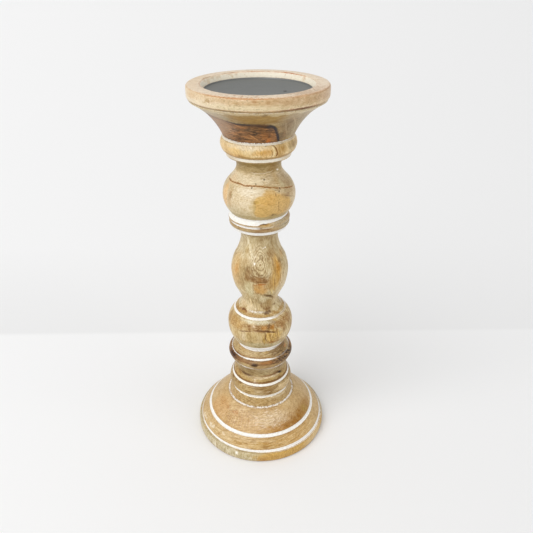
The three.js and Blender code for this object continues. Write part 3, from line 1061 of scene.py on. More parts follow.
@dataclass
class Collar(Section):
    """The collar, with a cove, a rounded band between two painted grooves, and a neck."""

    node: str = "collar"
    slot: str = "collar_wood"
    bottom: float = FOOT_TOP
    top: float = COLLAR_TOP
    socket: Tenon | None = FOOT_TENON
    tenon: Tenon | None = THICK_TENON

    def outside(self, outline: Outline) -> None:
        """Follow the cove, the band and the neck."""
        outline.sweep((35.2, self.bottom), (33.8, 47.4), (32.6, 51.2), (32.3, 53.7))
        outline.sweep((31.2, 54.7), (31.3, 55.4), (32.4, 56.4))
        outline.sweep((33.3, 58.8), (34.0, 62.8), (33.5, 66.6), (32.4, 69.2))
        outline.sweep((31.0, 70.4), (30.5, 71.8), spacing=0.5).line((29.6, 73.4))
        outline.sweep((28.8, 74.8), (27.2, 77.6), (26.4, 78.6))
        outline.sweep((25.5, 81.4), (25.2, 84.8), (26.4, 89.8), (30.4, 93.0))
        outline.line((31.0, self.top))

    def finish(self) -> WoodFinish:
        """Return the finish of the collar."""
        marks = (
            Zone(44.0, 54.0, (190, 154, 92), 0.6, 1.2),
            Patch(0, 49.5, 14, 3.2, (180, 140, 70), 0.5),
            Patch(24, 48.6, 8, 3.6, (176, 136, 90), 0.5),
            # Painted shade: the cove darker on the left, under the rounded band.
            Patch(-54, 48.4, 12, 3.6, (172, 128, 72), 0.7),
            Patch(-70, 46, 4, 1.6, (214, 176, 142), 0.5),
            Patch(-30, 65, 22, 4.0, (200, 170, 112), 0.45),
            Patch(8, 65.6, 17, 4.6, (150, 118, 70), 0.75, 0.5),
            Patch(14, 62.4, 10, 1.6, (128, 94, 48), 0.6, 0.6),
            Patch(-4, 64.4, 7, 0.8, (222, 204, 168), 0.7, 0.5),
            Patch(14, 63.9, 4, 0.6, (220, 202, 166), 0.6, 0.5),
            Patch(50, 63.8, 22, 4.0, (232, 208, 164), 0.75),
            Patch(-48, 68.6, 9, 1.0, (142, 108, 58), 0.45),
            Zone(45.0, 54.0, (184, 156, 108), 0.5, 0.8),
            Hatch(Patch(0, 49, 82, 6, (132, 106, 54), 0.6, 0.3), 3, 0.7, 4),
            Hatch(Patch(0, 49, 82, 6, (218, 196, 150), 0.5, 0.3), 6, 0.7, 4),
            Hatch(Patch(0, 65, 82, 6, (124, 94, 46), 0.55, 0.3), -2, 0.8, 6),
            Zone(80.0, 93.4, (176, 156, 114), 0.75, 1.6),
            Patch(-36, 84, 26, 5.4, (142, 116, 70), 0.75, 0.5),
            Zone(89.0, 93.4, (212, 194, 156), 0.5, 1.0),
            Patch(20, 89, 24, 4.0, (204, 188, 152), 0.7, 0.6),
            Patch(42, 52.6, 26, 1.6, (228, 210, 174), 0.6, 0.5),
            Patch(16, 77.8, 28, 2.0, (222, 204, 168), 0.8, 0.5),
            Zone(74.4, 76.2, (188, 158, 98), 0.7, 0.6),
            # Painted shadow: a dark brown line just above the top painted groove, at its arris.
            Zone(72.6, 74.3, (128, 90, 36), 0.85, 0.4, soft=False),
            Patch(18, 74.0, 18, 0.6, (104, 68, 28), 0.7, 0.5, soft=False),
            # Painted shade: dark crescents in the crease where the neck narrows.
            Patch(20, 79.5, 22, 0.9, (134, 92, 42), 0.8, 0.5, soft=False),
            Patch(-38, 79.4, 18, 1.0, (98, 70, 44), 0.9, 0.6, soft=False),
            Patch(49, 78.9, 8, 1.0, (50, 32, 18), 1.0, 0.6, -16, soft=False),
            Patch(40, 79.8, 12, 1.4, (122, 82, 38), 0.6, 0.6),
            Patch(13, 84.6, 4, 1.6, (210, 200, 158), 0.7, 0.6),
            Patch(30, 84.4, 10, 3.0, (198, 174, 132), 0.6, 0.6),
            Patch(-15, 82.6, 2.4, 1.6, (184, 158, 116), 0.45),
            Patch(56, 85, 8, 3.0, (128, 96, 52), 0.6),
            Hatch(Patch(0, 86, 82, 7, (112, 86, 44), 0.6, 0.3), -4, 0.8, 8),
            Patch(-64, 76, 12, 2.0, (176, 138, 80), 0.5),
        )
        bare = (Patch(-76, 57, 12, 3.4, BARE, 0.85, 0.4), Patch(68, 58.4, 16, 2.6, BARE, 0.5, 0.5))
        return WoodFinish(
            "collar_wood", (202, 182, 140), (178, 151, 102), (140, 108, 60), 31.0, Fibre.ACROSS, 5.0,
            pith=(14.0, 30.0), ring_spacing=4.6, ring_strength=0.14, marks=marks, white=(249, 246, 238),
            paints=(
                Paint(44.0, 44.7, 0.9, 0.35, 0.4, dirt_and_shade=0.4),
                Paint(54.2, 59.0, 1.0, 0.5, 0.16, bare=bare, dirt_and_shade=0.1),
                Paint(70.1, 72.4, 1.0, 0.3, 0.24, dirt_and_shade=0.6),
            ),
        )


@dataclass
class DarkRing(Section):
    """The dark bead with a painted groove over it."""

    node: str = "dark_ring"
    slot: str = "ring_wood"
    bottom: float = COLLAR_TOP
    top: float = DARK_RING_TOP
    socket: Tenon | None = THICK_TENON
    tenon: Tenon | None = THICK_TENON

    def outside(self, outline: Outline) -> None:
        """Follow the bead, the groove and the slope."""
        outline.line((31.4, self.bottom), (32.1, 94.6))
        outline.sweep((32.6, 95.8), (34.1, 98.8), (34.3, 100.6), (33.7, 102.8), (32.2, 104.3), spacing=0.6)
        outline.sweep((30.6, 104.8), (30.0, 105.3), (29.6, 106.0), spacing=0.4)
        outline.sweep((27.2, 108.2), (24.8, 111.2), (23.7, self.top))

    def finish(self) -> WoodFinish:
        """Return the finish of the ring."""
        marks = (
            Zone(100.6, 104.8, (142, 104, 62), 0.75, 0.8),
            Patch(-62, 102.6, 20, 3.2, (88, 58, 42), 0.95, 0.4),
            Patch(-62, 103.0, 10, 1.3, (58, 36, 28), 0.8, 0.6),
            Patch(46, 102.6, 25, 3.0, (68, 50, 36), 1.0, 0.4),
            Patch(66, 102.6, 18, 3.0, (66, 52, 42), 0.95, 0.4),
            Patch(30, 103.2, 10, 1.6, (84, 58, 40), 0.85, 0.5),
            Hatch(Patch(50, 104.6, 28, 4.6, (42, 26, 18), 0.9, 0.3), 24, 0.8, 3),
            Hatch(Patch(48, 104.0, 28, 4.2, (212, 172, 120), 0.7, 0.3), -24, 0.6, 4),
            Patch(-11, 101.2, 6.5, 1.7, (64, 42, 24), 1.0, 0.5),
            Patch(12, 103.2, 13, 1.1, (172, 116, 64), 0.6, 0.5),
            Patch(14, 102.0, 14, 0.6, (122, 84, 46), 0.5, 0.5),
            Patch(-6, 103.8, 7, 0.7, (176, 152, 112), 0.6, 0.5),
            Patch(-40, 103.6, 8, 1.0, (150, 106, 62), 0.5, 0.5),
            Patch(24, 100.4, 6, 0.8, (206, 176, 116), 0.7, 0.5),
            Patch(-28, 97.2, 15, 3.4, (208, 186, 138), 0.8, 0.5),
            Patch(-58, 96.4, 13, 3.0, (150, 120, 70), 0.75, 0.5),
            Patch(60, 96.2, 13, 2.6, (160, 136, 90), 0.55, 0.5),
            Patch(-22, 102.4, 3.2, 0.6, (110, 78, 48), 0.45, 0.5),
            Patch(-4, 99.4, 2.4, 1.6, (198, 166, 118), 0.5, 0.5),
            Zone(106.0, 113.0, (186, 162, 114), 0.8, 0.7),
            Patch(-52, 110.6, 14, 1.2, (182, 144, 86), 0.6, 0.5),
            Patch(52, 109.6, 32, 3.6, (132, 104, 64), 0.8, 0.5),
            Patch(62, 110.8, 16, 1.2, (126, 90, 56), 0.6, 0.5),
            Hatch(Patch(0, 109.4, 82, 3.2, (122, 88, 42), 0.75, 0.3), 2, 0.6, 9),
            Hatch(Patch(-10, 109.4, 60, 3.2, (222, 204, 164), 0.6, 0.3), 1, 0.6, 9),
            Streak(((-76, 105.6), (-50, 105.9), (-30, 106.6), (0, 107.0), (22, 106.8)), 0.6,
                   (140, 96, 44), 0.7),
            Hatch(Patch(0, 99, 82, 4, (126, 94, 50), 0.5, 0.3), -2, 0.8, 7),
            Patch(74, 108.2, 7, 0.9, (204, 146, 96), 0.8, 0.5),
            Patch(16, 110.4, 6, 0.9, (204, 174, 112), 0.5, 0.5),
            Streak(((28, 107.0), (44, 107.6), (60, 107.0)), 0.6, (104, 76, 50), 0.6),
            Streak(((18, 110.0), (34, 110.4), (52, 110.0)), 0.5, (132, 100, 62), 0.5),
        )
        faint = (Patch(62, 105.3, 34, 1.8, BARE, 0.8, 0.4),)
        groove = ((-180, 105.5), (-75, 105.0), (-45, 105.1), (-25, 105.7), (0, 106.1), (16, 106.0),
                  (30, 105.4), (180, 105.5))
        return WoodFinish(
            "dark_ring_wood", (196, 170, 124), (172, 142, 96), (128, 96, 62), 33.0, Fibre.ACROSS, 2.0,
            pith=(12.0, 90.0), ring_spacing=4.0, ring_strength=0.2, marks=marks,
            paints=(
                Paint(93.0, 95.6, 0.85, 0.4, 0.38, bare=tuple(
                    Patch(angle, 94.0, 24, 2.2, BARE, 0.7, 0.5) for angle in (-66, 2, 68))),
                Paint(104.7, groove, 1.0, 0.3, 0.24, bare=faint, dirt_and_shade=0.5),
                Paint(112.0, 113.4, 0.9, 0.3, 0.3, bare=(Patch(66, 112, 30, 2.4, BARE, 0.7, 0.4),)),
            ),
        )


@dataclass
class LowerBall(Section):
    """The golden ball."""

    node: str = "lower_ball"
    slot: str = "lower_ball_wood"
    bottom: float = DARK_RING_TOP
    top: float = LOWER_BALL_TOP
    socket: Tenon | None = THICK_TENON
    tenon: Tenon | None = SLIM_TENON

    def outside(self, outline: Outline) -> None:
        """Follow the ball."""
        outline.line((23.5, self.bottom)).ball(137.5, 33.9, 33.9, 27.3, 114.4, 152.8)
        outline.line((27.4, 153.9), (26.6, self.top))

    def finish(self) -> WoodFinish:
        """Return the finish of the ball."""
        marks = (
            Patch(-60, 146, 26, 5.0, (190, 150, 84), 0.65),
            Patch(-52, 136, 8, 6.0, (216, 192, 142), 0.5, 0.6, 24),
            Patch(-4, 146.6, 30, 3.4, (140, 98, 44), 0.9, 0.5),
            Patch(46, 133.6, 20, 4.4, (224, 206, 164), 0.8, 0.5),
            Patch(31, 124.4, 10, 4, (216, 208, 184), 0.85, 0.5),
            Patch(-31, 136, 5, 5.4, (228, 212, 178), 0.85, 0.6),
            Patch(-12, 136, 15, 5.4, (190, 166, 112), 0.6, 0.4),
            Patch(-3, 135.5, 4, 5.0, (206, 184, 140), 0.55, 0.5),
            Patch(22, 136.6, 17, 8.0, (206, 168, 90), 0.8, 0.4),
            Patch(54, 148.6, 26, 4.0, (166, 120, 60), 0.6, 0.5),
            # Painted shade under the ball: a grey-green band and a dark olive line along its lower edge.
            Patch(-4, 124.6, 44, 4.4, (188, 176, 138), 0.85, 0.5),
            Patch(-4, 122.2, 16, 1.0, (150, 132, 80), 0.7, 0.6),
            Patch(-31, 127, 5, 3.0, (196, 164, 114), 0.5, 0.5),
            Hatch(Patch(-52, 147, 30, 6, (150, 106, 50), 0.65, 0.4), 4, 0.7, 8),
            Hatch(Patch(46, 148, 34, 6, (138, 92, 40), 0.75, 0.4), -4, 0.7, 8),
            Hatch(Patch(-10, 134, 40, 8, (158, 128, 70), 0.5, 0.4), 88, 0.7, 6),
            Hatch(Patch(23, 134, 17, 9, (122, 82, 34), 0.8, 0.3), 96, 0.7, 4),
            Hatch(Patch(23, 134, 17, 9, (230, 194, 116), 0.7, 0.3), 84, 0.8, 4),
            Streak(((-38, 140.8), (-30, 142.0), (-22, 143.3), (-10, 144.4), (0, 144.7), (10, 144.0),
                    (18, 142.9), (26, 141.4), (33, 140.2)), 1.2, (118, 80, 44), 0.9, ends=6),
            Streak(((1, 144.6), (8, 144.1), (16, 142.9), (24, 141.4)), 1.25, (92, 58, 32), 0.85, ends=3),
            Patch(13, 143.6, 6, 1.5, (98, 64, 34), 0.6, 0.6),
            Patch(7, 147.0, 4.6, 1.8, (184, 122, 38), 0.9, 0.4),
            Patch(23, 147.2, 3.6, 2.4, (188, 132, 56), 0.85, 0.5),
            Patch(16.5, 148.2, 2.2, 3.0, (116, 80, 44), 0.85, 0.5),
            Hatch(Patch(14, 149, 22, 4, (104, 72, 36), 0.6, 0.4), 20, 0.6, 3),
            Patch(24, 151.6, 9, 1.0, (134, 94, 46), 0.7, 0.5),
            Patch(29, 153.2, 7, 0.7, (196, 164, 84), 0.6, 0.5),
            Patch(42, 143.8, 2.4, 1.2, (216, 172, 122), 0.6, 0.5),
            Streak(((8.6, 143), (8.5, 138), (9.6, 134.6), (12, 131.4)), 0.9, (112, 78, 42), 0.8, True, 2),
            Streak(((13, 141), (13, 137.4), (14.4, 134), (16.4, 131.6)), 1.0, (228, 194, 118), 0.85, True, 2),
            Streak(((18, 141), (18.2, 136.4), (20, 130)), 0.7, (130, 90, 44), 0.7, True, 1.5),
            Streak(((33, 141), (33.6, 136.6), (35.6, 132.6)), 1.0, (236, 208, 134), 0.85, True, 1.5),
            Streak(((29.6, 145), (30.4, 138.6), (31.4, 131)), 0.8, (134, 90, 38), 0.8, True, 1.5),
            Streak(((6, 136), (6.6, 131), (8, 127.4)), 1.2, (168, 134, 48), 0.7, True, 1.5),
            Patch(-22, 128.6, 14, 1.4, (166, 146, 90), 0.6, 0.5, 4),
            Patch(24, 129, 12, 1.2, (156, 108, 48), 0.7, 0.5, -6),
            Hatch(Patch(-24, 147, 34, 5, (222, 194, 140), 0.55, 0.4), -3, 0.6, 9),
            # Painted highlight: a pale sheen on the shoulder, under the painted line at the top.
            Patch(-6, 151.9, 28, 1.9, (214, 208, 182), 0.85, 0.5),
        )
        return WoodFinish(
            "lower_ball_wood", (221, 206, 166), (201, 177, 128), (168, 132, 80), 32.0, Fibre.UPRIGHT, 5.0,
            pith=(-12.0, 34.0), ring_spacing=4.4, ring_strength=0.12, marks=marks, white=(254, 253, 250),
            paints=(
                Paint(112.6, 120.3, 1.0, 0.5, 0.1, bare=(Patch(74, 116, 20, 6, BARE, 0.5, 0.4),), dirt_and_shade=0.1),
                Paint(153.8, 154.8, 1.0, 0.3, 0.2, dirt_and_shade=0.25, bare=(
                    Patch(68, 154, 34, 1.8, BARE, 0.8, 0.4),)),
            ),
        )


@dataclass
class Vase(Section):
    """The slender vase, with a knot in its face."""

    node: str = "vase_section"
    slot: str = "vase_wood"
    bottom: float = LOWER_BALL_TOP
    top: float = VASE_TOP
    socket: Tenon | None = SLIM_TENON
    tenon: Tenon | None = SHORT_TENON

    def outside(self, outline: Outline) -> None:
        """Follow the foot cove, the body and the neck."""
        outline.line((26.2, self.bottom))
        outline.sweep(
            (25.6, 155.4), (21.6, 159.6), (18.5, 167.4), (21.9, 176.2), (26.4, 186.2), (28.7, 201.2),
            (26.3, 214.2), (21.2, 225.0), (18.1, 236.5), (19.7, 244.4), (24.6, 247.6), spacing=1.1,
        )
        outline.line((26.0, self.top))

    def finish(self) -> WoodFinish:
        """Return the finish of the vase."""
        marks = (
            Zone(232.0, 250.0, (192, 174, 134), 0.4, 6.0),
            Zone(243.0, 250.0, (160, 134, 90), 0.7, 1.6),
            Patch(-56, 230, 22, 14, (214, 202, 172), 0.5, 0.6),
            Patch(-60, 204, 20, 17, (214, 180, 124), 0.85, 0.5),
            Patch(-56, 206.6, 6, 6, (212, 162, 96), 0.7, 0.7),
            Patch(-58, 184, 18, 9, (216, 198, 154), 0.6, 0.6),
            Patch(-32, 207, 13, 12, (172, 146, 98), 0.65, 0.6),
            Patch(-34, 218, 10, 5, (204, 180, 136), 0.45, 0.6),
            Patch(-8, 226, 22, 8, (222, 208, 174), 0.6, 0.6),
            Streak(((-40, 240), (-31, 234), (-24, 228), (-15, 222)), 5.2, (236, 226, 196), 0.95, ends=3),
            Streak(((-34, 226), (-27, 222.6), (-18, 220.4)), 2.4, (230, 216, 182), 0.8, ends=3),
            Patch(-38, 228, 6, 4, (184, 156, 100), 0.55, 0.6),
            Patch(37, 205, 13, 17, (208, 164, 84), 0.9, 0.5, -4),
            Patch(42, 213, 5, 6, (196, 138, 50), 0.75, 0.7),
            Patch(42, 220, 2.6, 4, (218, 184, 112), 0.7, 0.6),
            Patch(51, 217.6, 5, 2.2, (136, 110, 70), 0.6, 0.7),
            Patch(66, 222, 8, 4, (186, 146, 84), 0.5, 0.6),
            Patch(30.6, 214, 3.0, 7, (138, 106, 62), 0.7, 0.6),
            Patch(56, 187, 13, 15, (228, 210, 174), 0.75, 0.6),
            Patch(46, 236, 20, 9, (162, 136, 90), 0.55, 0.6),
            Patch(24, 241, 26, 2.0, (152, 124, 78), 0.5, 0.6),
            Patch(30, 226, 14, 5, (162, 130, 84), 0.6, 0.6),
            Hatch(Patch(10, 230, 30, 10, (152, 122, 74), 0.5, 0.5), 60, 0.8, 5),
            Hatch(Patch(-40, 200, 14, 14, (134, 108, 62), 0.55, 0.5), 112, 0.8, 5),
            Hatch(Patch(44, 206, 18, 18, (150, 106, 40), 0.55, 0.5), 84, 0.8, 9),
            Hatch(Patch(0, 172, 60, 9, (140, 112, 62), 0.55, 0.5), 92, 0.9, 8),
            Hatch(Patch(-8, 174, 60, 10, (232, 214, 172), 0.5, 0.5), 86, 0.9, 8),
            Knot(1.0, 216.6, 16.0, 1.9, (220, 204, 166), (132, 102, 58), (140, 106, 60), 0.7),
            Patch(-23, 209, 7, 4.6, (154, 120, 74), 0.5, 0.7, 16),
            Patch(-8, 201.8, 20, 3.6, (156, 114, 62), 0.8, 0.5, -10),
            Patch(10, 200.6, 9, 3.4, (158, 116, 66), 0.6, 0.6),
            Patch(-3, 199.4, 18, 1.0, (138, 102, 54), 0.75, 0.5),
            Hatch(Patch(-24, 208, 12, 7, (112, 84, 44), 0.7, 0.4), -58, 0.7, 5),
            Hatch(Patch(0, 203, 24, 4.6, (118, 82, 40), 0.75, 0.4), -12, 0.7, 5),
            Streak(((-27, 213), (-20, 208.2), (-8, 205.4), (6, 204.2), (18, 206), (26, 211)), 0.8,
                   (126, 90, 46), 0.6, ends=2),
            Streak(((-30, 207), (-20, 203.4), (-8, 200.6), (6, 199.4), (18, 201)), 0.8,
                   (126, 90, 48), 0.6, ends=2),
            # Painted highlights: small white glints on the varnish.
            Patch(-11.6, 217.8, 2.0, 0.9, (250, 248, 240), 0.75, 0.5, -20, soft=False),
            Patch(10.4, 231.6, 2.2, 0.6, (244, 240, 228), 0.7, 0.5, -10, soft=False),
            Patch(16.6, 232.2, 2.0, 0.8, (246, 242, 232), 0.8, 0.5, 14, soft=False),
            Patch(-1, 191.6, 13, 6.0, (202, 154, 84), 0.8, 0.5, -2),
            Patch(4, 190.4, 6, 6.0, (198, 152, 84), 0.7, 0.4),
            Patch(3, 196.4, 8, 1.2, (184, 124, 56), 0.8, 0.5),
            Streak(((-13, 195.4), (-6, 196.4), (6, 196.8), (13, 196.2)), 0.8, (166, 104, 48), 0.85, ends=1),
            Patch(9.4, 191.6, 0.9, 5.4, (172, 116, 54), 0.7, 0.5),
            Patch(6, 188, 12, 3.2, (206, 162, 94), 0.6, 0.5),
            Patch(-14, 192, 1.8, 5, (134, 100, 54), 0.6, 0.6),
            Patch(22, 196, 8, 7, (188, 146, 76), 0.6, 0.5),
            Streak(((34, 218), (29, 204), (28, 196), (31, 188)), 0.7, (226, 190, 112), 0.6, True, 2),
            Streak(((36, 218), (31, 204), (30, 196), (32, 190)), 0.6, (146, 108, 54), 0.6, True, 2),
            Streak(((24, 190), (26, 186), (30, 182)), 1.2, (228, 206, 142), 0.8, True, 2),
            Streak(((9, 183.0), (17, 180.8), (26, 178.6), (34, 176.0), (41, 172.4)), 2.8,
                   (122, 92, 46), 0.9, ends=4),
            Patch(22, 180.0, 7, 1.5, (92, 66, 30), 0.8, 0.6, -14),
            Patch(-22, 188, 10, 9, (206, 196, 156), 0.7, 0.6),
            Streak(((-24, 175), (-23, 170), (-21, 164)), 1.0, (140, 112, 62), 0.8, True, 2),
            Streak(((-6, 178), (-5, 174), (-3, 171), (1, 168)), 1.0, (140, 114, 68), 0.7, True, 2),
            Streak(((3, 170), (4, 166), (3, 163)), 1.1, (134, 98, 52), 0.8, True, 1.5),
            Streak(((-13, 172), (-12, 167), (-11, 163)), 0.9, (150, 120, 70), 0.6, True, 2),
            Streak(((-28, 174), (-29, 168), (-28, 162)), 2.4, (238, 220, 176), 0.8, True, 2),
            Patch(8, 174.6, 12, 5, (220, 208, 172), 0.75, 0.6),
            Patch(52, 174, 14, 6, (224, 202, 162), 0.7, 0.6),
            Patch(-30, 163, 12, 4, (232, 216, 182), 0.6, 0.6),
            Patch(30, 168, 14, 6, (168, 136, 82), 0.6, 0.6),
            Patch(-60, 164, 14, 3.4, (224, 200, 162), 0.5, 0.6),
            Patch(22, 162.6, 12, 2.0, (130, 94, 50), 0.8, 0.5),
            Patch(20, 159.3, 10, 1.1, (98, 68, 48), 0.9, 0.5),
            Patch(48, 164.4, 8, 1.0, (120, 88, 46), 0.7, 0.5),
            Patch(-49, 158.6, 15, 1.5, (168, 124, 72), 0.8, 0.4),
            Patch(-49, 158.6, 9, 0.9, (108, 64, 36), 0.95, 0.5),
            Patch(-64, 157.2, 18, 0.8, (168, 116, 62), 0.7, 0.5),
            Zone(156.0, 158.0, (176, 138, 76), 0.7, 0.6),
        )
        return WoodFinish(
            "vase_wood", (216, 202, 166), (198, 178, 134), (164, 136, 90), 27.0, Fibre.UPRIGHT, 3.0,
            pith=(6.0, 26.0), ring_spacing=3.0, ring_strength=0.16, marks=marks,
            paints=(
                Paint(154.4, 155.4, 0.95, 0.3, 0.27, bare=(Patch(60, 155, 30, 2, BARE, 0.7, 0.5),)),
                Paint(159.1, 160.7, 0.6, 0.6, 0.42, dirt_and_shade=0.2, bare=(
                    Patch(-60, 160, 30, 3, BARE, 1.0, 0.3),
                    Patch(50, 160, 42, 3, BARE, 1.0, 0.2),
                    Patch(180, 160, 40, 3, BARE, 1.0, 0.2),
                    Patch(-150, 160, 40, 3, BARE, 1.0, 0.2),
                )),
                Paint(247.8, 249.4, 0.9, 0.3, 0.3),
            ),
        )


@dataclass
class UpperRing(Section):
    """The small bead under a wide painted band that is worn on its right side."""

    node: str = "upper_ring"
    slot: str = "upper_ring_wood"
    bottom: float = VASE_TOP
    top: float = UPPER_RING_TOP
    socket: Tenon | None = SHORT_TENON
    tenon: Tenon | None = SLIM_TENON

    def outside(self, outline: Outline) -> None:
        """Follow the fillet, the bead, the groove, the arris and the band."""
        outline.sweep((26.4, self.bottom), (26.8, 249.9), (27.2, 250.9), spacing=0.6)
        outline.sweep((28.0, 251.7), (28.8, 252.8), (29.0, 254.2), (28.8, 255.5), spacing=0.5)
        outline.sweep((28.2, 256.1), (28.2, 256.7), (28.9, 257.3), spacing=0.4)
        outline.sweep(
            (29.3, 257.9), (29.4, 258.7), (29.1, 259.5), (28.4, 260.7), (27.5, 262.6), (27.1, self.top),
            spacing=0.5,
        )

    def finish(self) -> WoodFinish:
        """Return the finish of the ring."""
        marks = (
            Zone(252.4, 255.8, (170, 146, 106), 0.75, 0.5),
            Patch(10, 254.3, 22, 1.2, (146, 104, 62), 0.6, 0.5),
            Patch(-1, 257.6, 5, 2.4, (166, 130, 90), 0.7, 0.3),
            Patch(16, 259.8, 9, 0.9, (198, 158, 92), 0.85, 0.4),
            Patch(48, 259.6, 28, 4.0, (192, 178, 148), 0.75, 0.4),
            Patch(70, 262.4, 14, 1.3, (158, 118, 80), 0.7, 0.4),
            Patch(56, 255.8, 18, 2.4, (194, 182, 152), 0.75, 0.5),
            Patch(8.5, 261.0, 4.4, 0.7, (92, 78, 58), 0.95, 0.4),
            Patch(32, 256.8, 9, 2.6, (190, 162, 116), 0.6, 0.5),
            Zone(258.2, 259.3, (210, 186, 142), 0.6, 0.5),
            Streak(((5, 257.3), (14, 257.0), (26, 257.4)), 1.0, (242, 234, 216), 1.0, ends=1),
        )
        upper_edge = ((-180, 259.4), (-70, 259.4), (-4, 259.7), (4, 261.2), (20, 261.5), (45, 262.2),
                      (70, 262.8), (120, 262.0), (180, 259.6))
        groove_bare = (Patch(34, 257, 37, 2.4, BARE, 0.95, 0.18), Patch(-74, 257, 14, 1.6, BARE, 0.6, 0.4))
        return WoodFinish(
            "upper_ring_wood", (208, 186, 146), (186, 158, 112), (150, 118, 78), 28.0, Fibre.ACROSS, 2.0,
            pith=(10.0, 240.0), ring_spacing=3.8, ring_strength=0.14, marks=marks,
            paints=(
                Paint(248.6, 252.3, 0.97, 0.3, 0.24),
                Paint(255.9, 258.2, 1.0, 0.25, 0.24, bare=groove_bare),
                Paint(upper_edge, 264.2, 0.98, 0.35, 0.22),
            ),
        )


